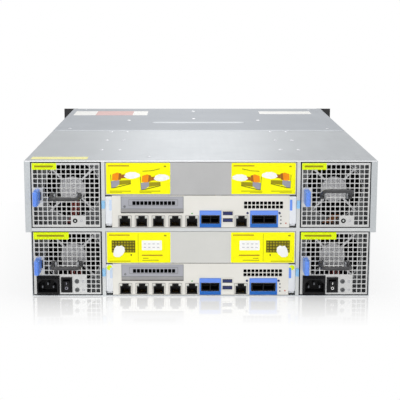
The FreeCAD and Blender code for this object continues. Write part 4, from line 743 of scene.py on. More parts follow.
# Three nickel blades of the power inlet, with eased tips
def make_inlet_blades(side):
    left, floor = MODULE_LEFT[side], MODULE_FLOOR["psu"]
    blade = sheet([INLET_BLADE], BLADE_SHEET, 0.25)
    edgewise = Matrix(((0, 0, 1, 0), (0, -1, 0, 0), (1, 0, 0, 0), (0, 0, 0, 1)))
    pieces = []
    for step, rise in ((-1, -2), (0, 2), (1, -2)):
        place = at(left + INLET[0] + BLADE_PITCH * step, FACE + BLADE_ROOT, floor + INLET[1] + rise)
        pieces.append((blade, BLADE_NICKEL, place @ edgewise))
    assemble("inlet_blades_" + side, "psu_module_" + side, pieces)


ROCKER_TILT, ROCKER_PIVOT, ROCKER_SLOPE = 8, 2, math.degrees(math.atan2(2.0, 6.5))
MARK_OUT, MARK_RISE, MARK_FILM = 5.4, 3.2, 0.12
MARK_INK = {"left": INK_GREY, "right": INK_WHITE}


# Line and ring on the two ends of the switch
def make_rocker_marks(side):
    pivot = at(MODULE_LEFT[side] + SWITCH[0], FACE + ROCKER_PIVOT, MODULE_FLOOR["psu"] + SWITCH[1])
    pivot = pivot @ turn(ROCKER_TILT, "X")
    bar = sheet([rounded(-0.5, -1.9, 0.5, 1.9, 0.4, 2)], MARK_FILM)
    loop = sheet([ring(0, 0, 1.9, 24), ring(0, 0, 1.15, 24)], MARK_FILM)
    pieces = []
    for mark, way in ((bar, 1), (loop, -1)):
        place = pivot @ at(0, -MARK_OUT, way * MARK_RISE) @ turn(way * ROCKER_SLOPE, "X") @ turn(90, "X")
        pieces.append((mark, MARK_INK[side], place))
    assemble("switch_marks_" + side, "rocker_" + side, pieces)


def make_modules():
    for side in SIDES:
        for kind in MODULE_ROW:
            make_housing(kind, side)
            make_fan_front(kind, side)
            make_module_box(kind, side)
            make_bail(kind, side)
            make_latch_ribs(kind, side)
            make_lamps(kind, side)
            make_module_label(kind, side)
        make_inlet_blades(side)
        make_rocker_marks(side)


# Controllers: heights are from the floor of their row, and places across from the chassis' middle

# Planes that thin parts are laid on: the front of the port block, the blue plates and the card bracket
PORT_FACE, BEZEL_FACE, BRACKET_FACE = FACE - 0.51, FACE - 1.4, FACE + 1.2
# Inner ends of the linings, and the sheet that closes them
JACK_BACK, USB_BACK, CAGE_BACK, END_SHEET = FACE + 11.55, FACE + 9.6, FACE + 13.35, 0.3
MOUTH_SHEET, SHIELD_SHEET = 0.24, 0.2
JACKS = [-96.7 + 21.4 * i for i in range(5)] + [51.8]
JACK_FIT, JACK_WALL, JACK_DEPTH = 0.03, 0.55, 12.0
WINDOW_ASIDE, WINDOW_LIFT, WINDOW_SHEET = 5.8, 0.04, 0.3
PIN_COUNT, PIN_PITCH, PIN_LEAN = 8, 1.02, 11


# A jack's stepped mouth, drawn in on all sides by the inset
def jack_outline(inset):
    low, shoulder, crown = 2.3 + inset, 10.9 - inset, 14.1 - inset
    wide, notch = 5.9 - inset, 3.1 - inset
    return [(-wide, low), (wide, low), (wide, shoulder), (notch, shoulder), (notch, crown),
            (-notch, crown), (-notch, shoulder), (-wide, shoulder)]


# Black liner, sprung gold contacts, two lamp windows and the shield's edge in each network jack
def make_jack_linings(row):
    floor = FLOOR[row]
    fit, wall = jack_outline(JACK_FIT), jack_outline(JACK_WALL)
    mouth = [jack_outline(-1.1), jack_outline(0.5)]
    shield = [rounded(-8.6, 1.0, 8.6, 15.6, 0.5, 2), rounded(-7.9, 1.7, 7.9, 14.9, 0.4, 2)]
    contact = sheet([rect(-0.24, 0, 0.24, 8.6)], 0.2)
    window = [rounded(-1.3, 11.9, 1.3, 13.9, 0.4, 2)]
    pieces = []
    for middle in JACKS:
        pieces += [panel(mouth, MOUTH_SHEET, BLACK_ABS, middle, PORT_FACE, floor),
                   panel(shield, SHIELD_SHEET, LIP_STEEL, middle, PORT_FACE, floor),
                   panel([fit, wall], JACK_DEPTH, BLACK_ABS, middle, JACK_BACK, floor),
                   panel([fit], END_SHEET, BLACK_ABS, middle, JACK_BACK + 0.7, floor)]
        for aside in spread(PIN_COUNT, PIN_PITCH):
            place = at(middle + aside, FACE + 1.6, floor + 3.2) @ turn(PIN_LEAN, "X")
            pieces.append((contact, CONTACT_GOLD, place))
        for x in (middle - WINDOW_ASIDE, middle + WINDOW_ASIDE):
            plane = PORT_FACE - WINDOW_LIFT
            pieces.append(panel(window, WINDOW_SHEET, LENS_CLEAR, x, plane, floor, 0.08))
    assemble("jack_linings_" + row, "controller_" + row, pieces)


USB_MIDDLE, USB_SLOTS = 34.4, (9.7, 18.5)
USB_STRIPS, USB_STRIP_PITCH = 4, 2.5
USB_DEPTH, TONGUE_LENGTH = 10.0, 9.6


# Black liner, navy contact block and gold strips in each socket, and the shield's plate round both; the
# black liner inside each metal socket is painted shade
def make_usb_linings(row):
    floor = FLOOR[row]
    strip = sheet([rect(-0.6, 0, 0.6, 6)], 0.12)
    shell = [rounded(-7.2, 6.0, 7.2, 22.2, 0.6, 2)]
    pieces = []
    for rise in USB_SLOTS:
        rim, mouth = around(0, rise, 6.27, 2.47), around(0, rise, 6.1, 2.3)
        tongue = rect(-6.0, rise - 2.2, 6.0, rise + 1.6)
        pieces += [panel([rim, mouth], USB_DEPTH, BLACK_ABS, USB_MIDDLE, USB_BACK, floor),
                   panel([rim], END_SHEET, BLACK_ABS, USB_MIDDLE, USB_BACK + 0.35, floor),
                   panel([tongue], TONGUE_LENGTH, TONGUE_BLUE, USB_MIDDLE, USB_BACK - 0.1, floor, 0.1)]
        for aside in spread(USB_STRIPS, USB_STRIP_PITCH):
            place = at(USB_MIDDLE + aside, FACE + 1.4, floor + rise + 1.64)
            pieces.append((strip, CONTACT_GOLD, place))
        shell.append(around(0, rise, 6.3, 2.5))
    pieces.append(panel(shell, SHIELD_SHEET, PANEL_STEEL, USB_MIDDLE, PORT_FACE, floor))
    assemble("usb_linings_" + row, "controller_" + row, pieces)


# Storage pair and optic pair: middle, distance of a mouth from it, a mouth's width, half the plate's width
CAGES = ((12.3, 5.55, 10.6, 11.8), (80.6, 7.15, 13.8, 15.8))
CAGE_LOW, CAGE_HIGH, CAGE_DEPTH, CARD_LENGTH = 6.3, 15.1, 14.6, 6.0
PLATE_FILM, HIGHLIGHT_AND_SHADE_BAND_FILM = 0.16, 0.1
# Lower edge, upper edge and film of the bands over and under the mouths; the paler band over them is a
# painted highlight and the deeper band under them a painted shade on the blue plate
CAGE_HIGHLIGHT_AND_SHADE_BANDS = ((16.6, 21.6, BEZEL_HIGHLIGHT_BLUE), (0.8, 4.8, BEZEL_SHADE_BLUE))


def cage_mouth(middle, wide, inset):
    return rect(middle - wide / 2 + inset, CAGE_LOW + inset, middle + wide / 2 - inset, CAGE_HIGH - inset)


# Dark cage mouths with a card edge inside, and the bands of the blue plates; the black linings are painted
# shade inside the metal cages, and the bands are painted highlight and shade
def make_cage_linings(row):
    floor = FLOOR[row]
    pieces = []
    for middle, step, wide, half in CAGES:
        rim, wall = cage_mouth(0, wide, 0.03), cage_mouth(0, wide, 0.5)
        card = rect(-wide / 2 + 1.2, 9.6, wide / 2 - 1.2, 11.0)
        plate = [rect(-half + 0.1, CAGE_LOW - 1.0, half - 0.1, CAGE_HIGH + 1.0)]
        for aside in (-step, step):
            x = middle + aside
            pieces += [panel([rim, wall], CAGE_DEPTH, MESH_AND_SHADE_BLACK, x, CAGE_BACK, floor),
                       panel([rim], END_SHEET, MESH_AND_SHADE_BLACK, x, CAGE_BACK + 0.8, floor),
                       panel([card], CARD_LENGTH, BLACK_ABS, x, CAGE_BACK + 0.45, floor, 0.1)]
            plate.append(cage_mouth(aside, wide, 0.4))
        pieces.append(panel(plate, PLATE_FILM, BLACK_ABS, middle, BEZEL_FACE + 0.12, floor))
        for low, high, film in CAGE_HIGHLIGHT_AND_SHADE_BANDS:
            band = rounded(-half - 1.6, low, half + 1.6, high, 0.4, 2)
            pieces.append(panel([band], HIGHLIGHT_AND_SHADE_BAND_FILM, film, middle, BEZEL_FACE, floor))
    assemble("cage_linings_" + row, "controller_" + row, pieces)


PANEL_LENS = [(0.95, 0), (0.9, 0.3), (0.5, 0.5), (0, 0.55)]
PANEL_LAMPS = ((102, 14.4, LENS_GREY), (102, 9.7, LENS_GREY), (102, 5.1, LENS_GREY),
               (108.5, 5.5, LENS_RED), (-11.1, 18.2, LENS_GREEN))
CAGE_SCREWS, CAGE_SCREW_RISE = (59.5, 100.3), 18.7
# Middles of the vent holes in the panel and in the bracket
PANEL_VENTS = [(57.0 + 5.05 * i, 26.6 + 5.05 * level) for i in range(10) for level in range(2)]
BRACKET_VENTS = [(-85.0 + 5.02 * i, 31.4) for i in range(11)]
VENT_HALF, SHADE_RIM_FILM, SHADE_RIM_SUNK = 1.7, 0.08, 0.01
# Half width, half height and plane of the dark rims, painted shade that makes the holes look wider
VENT_SHADE_RIMS = ((PANEL_VENTS, 2.05, 2.05, FACE), (BRACKET_VENTS, 2.1, 2.45, BRACKET_FACE))
# Edges and plane of the black sheet behind the holes, painted shade for the dark inside
VENT_SHADE_SHEETS = ((54, 23.6, 105.5, 34.6, FACE + 1.65), (-88, 28.4, -31.8, 34.4, FACE + 2.55))
BRACKET_LEFT, BRACKET_RIGHT, BRACKET_TOP = -101.6, -22.0, 40.1
# Width of the dark edge lines and sheet of the dark lines on the bracket, painted shade
SHADE_LINE_WIDTH, SHADE_LINE_SHEET = 0.8, 0.2


# Black sheet behind the vent holes and a dark rim round each hole, both painted shade: the dark inside of
# the controller and a wider dark opening
def vent_pieces(floor):
    pieces = []
    for *edges, plane in VENT_SHADE_SHEETS:
        pieces.append(panel([rect(*edges)], BACKING_SHEET, MESH_AND_SHADE_BLACK, 0, plane, floor))
    for vents, wide, tall, plane in VENT_SHADE_RIMS:
        shade_rims = []
        for x, z in vents:
            shade_rims += [rounded(x - wide, z - tall, x + wide, z + tall, 0.7, 3),
                     around(x, z, VENT_HALF, VENT_HALF)]
        pieces.append(panel(shade_rims, SHADE_RIM_FILM, MESH_AND_SHADE_BLACK, 0, plane + SHADE_RIM_SUNK, floor))
    return pieces


# Folded lip, pressed bead and edge lines of the card bracket; the black strip under the lip is a painted
# shadow, and the dark strip over the lip, the darker bead and the dark edge lines are painted shade of the
# bracket's recess
def bracket_pieces(floor):
    left, right, top = BRACKET_LEFT, BRACKET_RIGHT, BRACKET_TOP
    near, far = left - 0.1, right + 0.1
    lip = rounded(left, 19.4, right, 23.6, 0.3, 2)
    lip_shadow, crease_shade = rect(left, 18.7, right, 19.4), rect(left, 23.7, right, 24.5)
    bead = [rounded(-92, 27.6, -29, 36.4, 0.8, 2), rounded(-91.2, 28.4, -29.8, 35.6, 0.6, 2)]
    pieces = [panel([lip], 0.8, LIP_STEEL, 0, BRACKET_FACE - 0.1, floor, 0.15),
              panel([lip_shadow], 0.3, BLACK_ABS, 0, PORT_FACE, floor),
              panel([crease_shade], SHADE_LINE_SHEET, SHADED_INNER_STEEL, 0, BRACKET_FACE, floor),
              panel(bead, 0.5, SHADED_INNER_STEEL, 0, BRACKET_FACE, floor, 0.1),
              (screw_head(1.6, 0.6), LUG_STEEL, facing_rear(-97.0, BRACKET_FACE, floor + 27.0))]
    for edge, finish in ((rect(near, 24.5, near + SHADE_LINE_WIDTH, top), SHADED_INNER_STEEL),
                         (rect(far - SHADE_LINE_WIDTH, 24.5, far, top), SHADED_INNER_STEEL),
                         (rect(near, 39.4, far, top), LUG_STEEL)):
        pieces.append(panel([edge], SHADE_LINE_SHEET, finish, 0, BRACKET_FACE, floor))
    return pieces


def make_panel_details(row):
    floor = FLOOR[row]
    pieces = []
    for x, z, finish in PANEL_LAMPS:
        pieces.append((turned(PANEL_LENS, 16), finish, facing_rear(x, FACE, floor + z)))
    pieces += vent_pieces(floor)
    for x in CAGE_SCREWS:
        pieces.append((screw_head(1.5, 0.9), TONGUE_BLUE, facing_rear(x, FACE, floor + CAGE_SCREW_RISE)))
    pieces += bracket_pieces(floor)
    assemble("panel_details_" + row, "controller_" + row, pieces)


LEVER_SKIN, LEVER_EDGE, STRIP_LIFT = 0.5, 0.15, 0.3
# Outer side, offset and finish of the touch strip; the left lever's strip is a paler copy of the blue, a
# painted highlight
LEVER_TOUCH = {"left": (-1, 2.2, TOUCH_HIGHLIGHT_BLUE), "right": (1, -2.2, LATCH_BLUE)}


# White skin and blue touch strip on each eject lever, and a lime dot on the lower pair
def make_lever_marks(row, side):
    name = f"eject_lever_{row}_{side}"
    low, high = corner(name, 0), corner(name, 1)
    middle = (low.x + high.x) / 2
    outer, inner, touch = LEVER_TOUCH[side]
    left, right = sorted((4.35 * outer, -4.05 * outer))
    back, floor = low.y + 0.05, FLOOR[row]
    skin, strip = rounded(left, 5.0, right, 40.2, 0.8, 3), rounded(-1.5, 22.0, 1.5, 36.0, 0.7, 3)
    pieces = [panel([skin], LEVER_SKIN, LEVER_WHITE, middle, back, floor, LEVER_EDGE),
              panel([strip], LEVER_SKIN, touch, middle + inner, back - STRIP_LIFT, floor, LEVER_EDGE)]
    if row == "lower":
        dot = ring(0, 36.0, 3.4, 28)
        pieces.append(panel([dot], LABEL_FILM, LABEL_LIME, middle, back - LEVER_SKIN, floor))
    assemble("lever_marks_" + row + "_" + side, name, pieces)


# Mainboards: places are across from the middle and inwards from the rear face

BOARD_RISE, BOARD_SHEET = 5.6, 1.6
SOCKET_HALF, SOCKET_OPEN, SOCKET_COVER, SOCKET_Y, SOCKET_TALL = 31, 24, 22, 190, 6.0
MEMORY_SLOTS, MEMORY_FIRST, MEMORY_PITCH, MEMORY_WIDTH = 8, -101.9, 9.4, 6.6
SLOT_TALL, CLIP_TALL, CLIP_PLACES = 7.0, 9.0, (123.5, 250.9)
# Slots that start to the right of this are the second bank, in grey
GREY_BANK = -33 - MEMORY_WIDTH
COOLER = (48, 120, 92, 164)
FINS, FIN_FIRST, FIN_PITCH = 9, 49, 5.25
PLUG_LEFTS, PLUG_BLADES, PLUG_PITCH = (20, -95), 24, 2.8
PLUG_TALL, PLUG_BASE_TALL = 12.0, 5.0
# Middle, width, depth and height of each chip
CHIPS = ((20, 60, 22, 22, 2.2), (-60, 70, 16, 12, 1.8), (60, 250, 30, 30, 2.6), (-20, 300, 14, 20, 1.8),
         (88, 205, 12, 16, 1.6), (30, 330, 18, 10, 1.6), (-75, 310, 20, 14, 1.8), (60, 80, 14, 14, 1.6))
CAPACITOR = [(0, 0), (3.4, 0), (3.4, 1.2), (3.1, 1.5), (3.4, 1.8), (3.4, 8.4), (3.0, 9.0), (0, 8.8)]
COIN_CELL = [(10.4, 0), (10.4, 2.0), (10, 2.6), (10, 4.4), (9.4, 5.0), (0, 5.0)]
CAPACITORS = [(-24 + 7.6 * i, 236) for i in range(8)]
COILS, COIL_TALL = [(-24 + 8.4 * i, 150) for i in range(7)], 5.4
BOARD_SCREWS = [(x, y) for y in (64, 344) for x in (-96, 96)]


def socket_pieces(deck):
    def square(half):
        return (-half, SOCKET_Y - half, half, SOCKET_Y + half)

    opening = rect(*square(SOCKET_OPEN))
    seat, cover = rounded(*square(SOCKET_HALF), 2), rounded(*square(SOCKET_COVER), 2)
    pieces = [slab([seat, opening], SOCKET_TALL, ZINC_BRIGHT, 0, FACE, deck, 0.4),
              slab([opening], 1.2, CONTACT_GOLD, 0, FACE, deck),
              slab([cover], 0.8, BLACK_ABS, 0, FACE, deck + 3.2, 0.2)]
    screw_offset = SOCKET_HALF - 3
    for x in (-screw_offset, screw_offset):
        for y in (SOCKET_Y - screw_offset, SOCKET_Y + screw_offset):
            pieces.append((screw_head(2.2, 1.2), ZINC_BRIGHT, at(x, FACE + y, deck + SOCKET_TALL)))
    return pieces


def memory_pieces(deck):
    slot = [rounded(0, 129, MEMORY_WIDTH, 251, 0.6, 2), rect(2.4, 131, 4.2, 249)]
    clip = [rounded(0.4, 0, 6.2, 5.6, 0.8, 2)]
    pieces = []
    for i in range(MEMORY_SLOTS):
        left = MEMORY_FIRST + MEMORY_PITCH * i
        finish = BUTTON_GREY if left > GREY_BANK else BLACK_ABS
        pieces.append(slab(slot, SLOT_TALL, finish, left, FACE, deck, 0.2))
        for y in CLIP_PLACES:
            pieces.append(slab(clip, CLIP_TALL, LABEL_WHITE, left, FACE + y, deck, 0.4))
    return pieces


def cooler_pieces(deck):
    base_tall, fin_tall, fin_sheet = 9.0, 12.0, 2.0
    fin = sheet([rect(COOLER[1], 0, COOLER[3], fin_tall)], fin_sheet, 0.2)
    pieces = [slab([rounded(*COOLER, 0.8, 2)], base_tall, FIN_ALUMINIUM, 0, FACE, deck, 0.4)]
    for i in range(FINS):
        place = facing_side(FIN_FIRST + FIN_PITCH * i, FACE, deck + base_tall)
        pieces.append((fin, FIN_ALUMINIUM, place))
    return pieces


# Plugs at the inner end of the board that meet the midplane
def plug_pieces(deck):
    blade = [rect(0, 0, 1.4, 12)]
    pieces = []
    for left in PLUG_LEFTS:
        shell = [rounded(left, 368, left + 75, 388, 1), rect(left + 3, 372, left + 72, 389)]
        base = rect(left + 1, 369, left + 74, 387.8)
        pieces += [slab(shell, PLUG_TALL, BLACK_ABS, 0, FACE, deck + 1, 0.3),
                   slab([base], PLUG_BASE_TALL, BLACK_ABS, 0, FACE, deck, 0.1)]
        for step in range(PLUG_BLADES):
            x = left + 5 + PLUG_PITCH * step
            pieces.append(slab(blade, 1.0, CONTACT_GOLD, x, FACE + 375, deck + 5.5, 0.1))
    return pieces


# Chips, capacitors, coils, cell and screws
def small_board_pieces(deck):
    pieces = []
    for x, y, wide, deep, tall in CHIPS:
        chip = rounded(x - wide / 2, y - deep / 2, x + wide / 2, y + deep / 2, 0.6, 2)
        pieces.append(slab([chip], tall, BLACK_ABS, 0, FACE, deck, 0.25))
    for x, y in CAPACITORS:
        pieces.append((turned(CAPACITOR, 20), ZINC_BRIGHT, at(x, FACE + y, deck)))
    coil = [rounded(-3.6, -3.6, 3.6, 3.6, 1, 3)]
    for x, y in COILS:
        pieces.append(slab(coil, COIL_TALL, BUTTON_GREY, x, FACE + y, deck, 0.6))
    pieces.append((turned(COIN_CELL, 32), ZINC_BRIGHT, at(90, FACE + 300, deck)))
    for x, y in BOARD_SCREWS:
        pieces.append((screw_head(2.6, 1.4), ZINC_BRIGHT, at(x, FACE + y, deck)))
    return pieces


# Board with its socket, memory slots, cooler, riser and inner plugs
def make_mainboard(row):
    deck = FLOOR[row] + BOARD_RISE
    board = rounded(-104.9, 20.5, 104.9, 388, 2)
    riser = sheet([rect(30, 0, 110, 30)], 2.0, 0.1)
    pieces = [slab([board], BOARD_SHEET, BOARD_GREEN, 0, FACE, deck - BOARD_SHEET, 0.1)]
    pieces += socket_pieces(deck) + memory_pieces(deck) + cooler_pieces(deck)
    pieces.append((riser, BOARD_GREEN, facing_side(-102.8, FACE, deck)))
    pieces += plug_pieces(deck) + small_board_pieces(deck)
    assemble("fitted_mainboard_" + row, "controller_" + row, pieces, ("mainboard_" + row,))


def make_controllers():
    for row in ROWS:
        make_jack_linings(row)
        make_usb_linings(row)
        make_cage_linings(row)
        make_panel_details(row)
        make_mainboard(row)
        for side in SIDES:
            make_lever_marks(row, side)


# Stickers on the blank panels: generic pictograms, drawn for the left and mirrored for the right

STICKER_LOW = {"upper": 133.6, "lower": 44.2}
STICKER_HIGH = {"upper": 173.6, "lower": 84.1}
STICKER_OUTER, STICKER_WIDTH, STICKER_FILM = 119.9, 81.2, 0.12
# Each print lies one step over the one before
INK_FILM, INK_STEP = 0.04, 0.006
HAND = [(16.5, 22.4), (19, 26.6), (24, 28.4), (31, 28.2), (36.4, 25.8), (36.6, 22.4), (31, 20.4),
        (25, 19.4), (20.4, 20.2)]
FINGERS = [(13, 20.2), (20, 20.8), (20, 25.6), (13.4, 25)]
SHELF = [(0.6, 8.2), (0.2, 16.6), (10.4, 18.4), (10.8, 12.4), (5, 8.6)]
RAIL = [(10.6, 11.6), (25.2, 13.6), (25.2, 18), (10.6, 17.4)]
BLOCK = [(1.4, 18), (2, 25.6), (8, 27.6), (13.4, 26.2), (12.8, 18.6), (6.6, 17.2)]
BLOCK_END = [(9.4, 18), (12.8, 18.6), (13.4, 26.2), (10.4, 26.9)]
SHELF_EDGE = [(0.4, 7.4), (5, 7.8), (25.4, 12.8), (25.2, 13.7), (5, 8.8), (0.7, 8.5), (0.1, 25),
              (-0.6, 25)]
OPEN_HAND = [(8, 12), (9.4, 18.6), (12.4, 22.4), (15.6, 21.6), (18.6, 22.8), (22.4, 20), (22.8, 15),
             (20, 10.6), (16, 7.4), (11.4, 7.4), (8.6, 9)]
SWEEP = [(46, 29), (57, 29.6), (68, 32), (67.6, 32.6), (57, 30.2), (46, 29.6)]


def moved(outline, x, z):
    return [(x + px, z + pz) for px, pz in outline]


# A hand that draws out a tray, twice
def tray_prints():
    prints = []
    for x, lift, reach in ((6, 0, 0), (43.6, -2.4, -3)):
        for outline, rise, ink in ((SHELF_EDGE, lift, INK_DARK), (SHELF, lift, INK_GREY),
                                   (RAIL, lift, INK_OLIVE), (BLOCK, lift, INK_ORANGE),
                                   (BLOCK_END, lift, INK_BROWN), (FINGERS, reach, INK_BROWN),
                                   (HAND, reach, INK_WHITE)):
            prints.append((moved(outline, x, rise), ink))
        prints += [(rect(x - 1.4, 3.4, x + 25, 4.2), INK_OLIVE),
                   (rect(x - 1.4, 1.8, x + 14, 2.4), INK_OLIVE)]
    prints.append((SWEEP, INK_DARK))
    return prints


# A hand at a row of ports, beside a note
def port_prints():
    prints = [(rect(39.7, 1.5, 40.1, 38), INK_OLIVE), (rect(6, 13.4, 36.2, 29.2), INK_DARK),
              (rounded(44.6, 16.4, 70.2, 29.2, 1), INK_WHITE), (rect(44.6, 9.2, 71, 10.4), INK_BROWN),
              (rect(46, 5.4, 53, 6.2), INK_OLIVE), (rect(45, 2.8, 66, 3.6), INK_OLIVE),
              (rect(2.4, 1.6, 30, 2.4), INK_OLIVE), (rect(30.2, 9, 31.6, 11.4), INK_DARK)]
    # Grids: columns, levels, first place, spacing, size of a mark, ink
    for columns, levels, first, apart, size, ink in (
            (8, 4, (6.7, 14.2), (3.7, 3.75), (2.6, 2.4), INK_OLIVE),
            (4, 2, (47, 20), (5.6, 4.4), (3, 0.6), INK_GREY)):
        for column in range(columns):
            for level in range(levels):
                x, z = first[0] + apart[0] * column, first[1] + apart[1] * level
                prints.append((rect(x, z, x + size[0], z + size[1]), ink))
    prints.append((OPEN_HAND, INK_WHITE))
    return prints


def make_sticker(row, side):
    low, high = STICKER_LOW[row], STICKER_HIGH[row]
    way = 1 if side == "left" else -1
    start = -STICKER_OUTER * way

    def placed(outline):
        return [(start + way * x, low + z) for x, z in outline]

    film = placed(rounded(0, 0, STICKER_WIDTH, high - low, 1.2, 3))
    edge, ink_plane = min(start, start + way * STICKER_WIDTH), FACE - STICKER_FILM
    heading = rect(edge + 2.6, low + 35.6, edge + 29, low + 36.8)
    corner_mark = rect(edge + 73, low + 34.6, edge + 76, low + 36.4)
    pieces = [panel([film], STICKER_FILM, STICKER_YELLOW, 0, FACE, 0),
              panel([heading], INK_FILM, INK_BROWN, 0, ink_plane, 0),
              panel([corner_mark], INK_FILM, INK_OLIVE, 0, ink_plane, 0)]
    prints = tray_prints() if row == "upper" else port_prints()
    for layer, (outline, ink) in enumerate(prints):
        pieces.append(panel([placed(outline)], INK_FILM, ink, 0, ink_plane - INK_STEP * layer, 0))
    assemble(f"sticker_{row}_{side}", "chassis", pieces)


def make_stickers():
    for row in ROWS:
        for side in SIDES:
            make_sticker(row, side)


# Covers and sides: places are across from the middle and inwards from the rear edge

COVER_RIVET = [(3.0, 0), (2.8, 0.4), (1.7, 0.8), (0, 0.92)]
REAR_RIVETS = [(way * x, y) for x in (109, 133) for y in (102, 202, 301) for way in (-1, 1)] + [(-67, 37)]
FRONT_RIVETS = ((-114, 457), (99, 457), (-7, 482), (-7, 600))
COVER_SCREWS = ((-200, 340), (200, 340), (-200, 620), (200, 620))
# Left, near end, right, far end and film of the labels on the covers
REAR_LABEL = (-217, 15, -145, 36, LABEL_PALE)
FRONT_LABELS = ((-214, 537, -176, 603, LABEL_WHITE), (-176, 537, -112, 603, LABEL_PINK),
                (-112, 537, -87, 603, LABEL_WHITE), (108, 556, 198, 600, LABEL_WHITE))
BEAD_HALF, BEAD_START, BEAD_END = 75, 419, 435
ROLL_RADIUS, ROLL_DROP = 0.5, 0.4


def cover_label(left, near, right, far, film):
    return slab([rounded(left, REAR + near, right, REAR + far, 0.8, 2)], LABEL_FILM, film, 0, 0, TOP)


# Rivets, label and rolled edge of the rear cover; the rolled edge is a round bar in bright plated wire,
# lighter than the cover's steel, a painted highlight along the rear edge
def make_rear_cover_details():
    low, high = corner("top_cover_rear", 0), corner("top_cover_rear", 1)
    pieces = [(turned(COVER_RIVET, 20), ZINC_BRIGHT, at(x, REAR + y, TOP)) for x, y in REAR_RIVETS]
    pieces.append(cover_label(*REAR_LABEL))
    roll_y, roll_z = low.y + ROLL_DROP, TOP - ROLL_DROP
    highlight_roll = bent_bar([(low.x + 1, roll_y, roll_z), (high.x - 1, roll_y, roll_z)], ROLL_RADIUS)
    pieces.append((highlight_roll, WIRE_STEEL, at(0, 0, 0)))
    assemble("rear_cover_rivets", "chassis", pieces)


# Hem, pressed bead, rivets, screws and labels of the front cover; the hem and the bead are in a lighter
# copy of the cover's steel, a painted highlight
def make_front_cover_details():
    low, high = corner("top_cover_front", 0), corner("top_cover_front", 1)
    hem = rounded(low.x + 3, low.y + 0.3, high.x - 3, low.y + 9.3, 0.6, 2)
    bead = rounded(-BEAD_HALF, REAR + BEAD_START, BEAD_HALF, REAR + BEAD_END, 7.9, 6)
    pieces = [slab([hem], 0.5, HIGHLIGHT_BEAD_STEEL, 0, 0, TOP - 0.15, 0.15),
              slab([bead], 0.7, HIGHLIGHT_BEAD_STEEL, 0, 0, TOP - 0.3, 0.3)]
    for x, y in FRONT_RIVETS:
        pieces.append((turned(COVER_RIVET, 20), WIRE_STEEL, at(x, REAR + y, TOP)))
    for x, y in COVER_SCREWS:
        pieces.append((screw_head(2.8, 0.9), ZINC_BRIGHT, at(x, REAR + y, TOP)))
    pieces += [cover_label(*label) for label in FRONT_LABELS]
    assemble("front_cover_labels", "front_cover", pieces)


RAIL_STUD = [(4.2, 0), (4.2, 0.5), (2.6, 0.5), (2.6, 1.6), (3.8, 1.8), (3.8, 2.4), (3.2, 2.8), (0, 2.8)]
STUD_PLACES, STUD_RISE = (60, 250, 440), 126
SIDE_SCREWS, SIDE_SCREW_DROP = range(40, 640, 75), 10


# Rail studs and cover screws on both sides
def make_side_details():
    half = corner("chassis_tub", 1).x
    pieces = []
    for way in (-1, 1):
        outward = turn(way * 90, "Y")
        for y in STUD_PLACES:
            pieces.append((turned(RAIL_STUD), ZINC_BRIGHT, at(way * half, REAR + y, STUD_RISE) @ outward))
        for y in SIDE_SCREWS:
            place = at(way * half, REAR + y, TOP - SIDE_SCREW_DROP) @ outward
            pieces.append((screw_head(2.6, 0.8), ZINC_BRIGHT, place))
    assemble("side_studs", "chassis", pieces)


# Drive trays: four columns and six levels, of which the four at the top slide

TRAY_COLUMNS, FIXED_LEVELS = 4, 5
TRAY_LOW = corner("drive_tray_1", 0)
TRAY_HIGH = corner("drive_tray_1", 1)
TRAY_WIDE, TRAY_TALL = TRAY_HIGH.x - TRAY_LOW.x, TRAY_HIGH.z - TRAY_LOW.z
TRAY_STEP = corner("drive_tray_2", 0).x - TRAY_LOW.x
TRAY_DROP = (corner("drive_trays", 1).z - corner("drive_trays", 0).z - TRAY_TALL) / (FIXED_LEVELS - 1)
TRAY_FACE = TRAY_HIGH.y - 4.5
RAIL_FRONT, RAIL_END, TRAY_SHEET = TRAY_FACE - 13.9, TRAY_LOW.y, 2.0
TRAY_VENTS, TRAY_VENT_PITCH = 15, 5.5
TRAY_LENS = [(1.1, 0), (1.0, 0.3), (0.6, 0.5), (0, 0.55)]


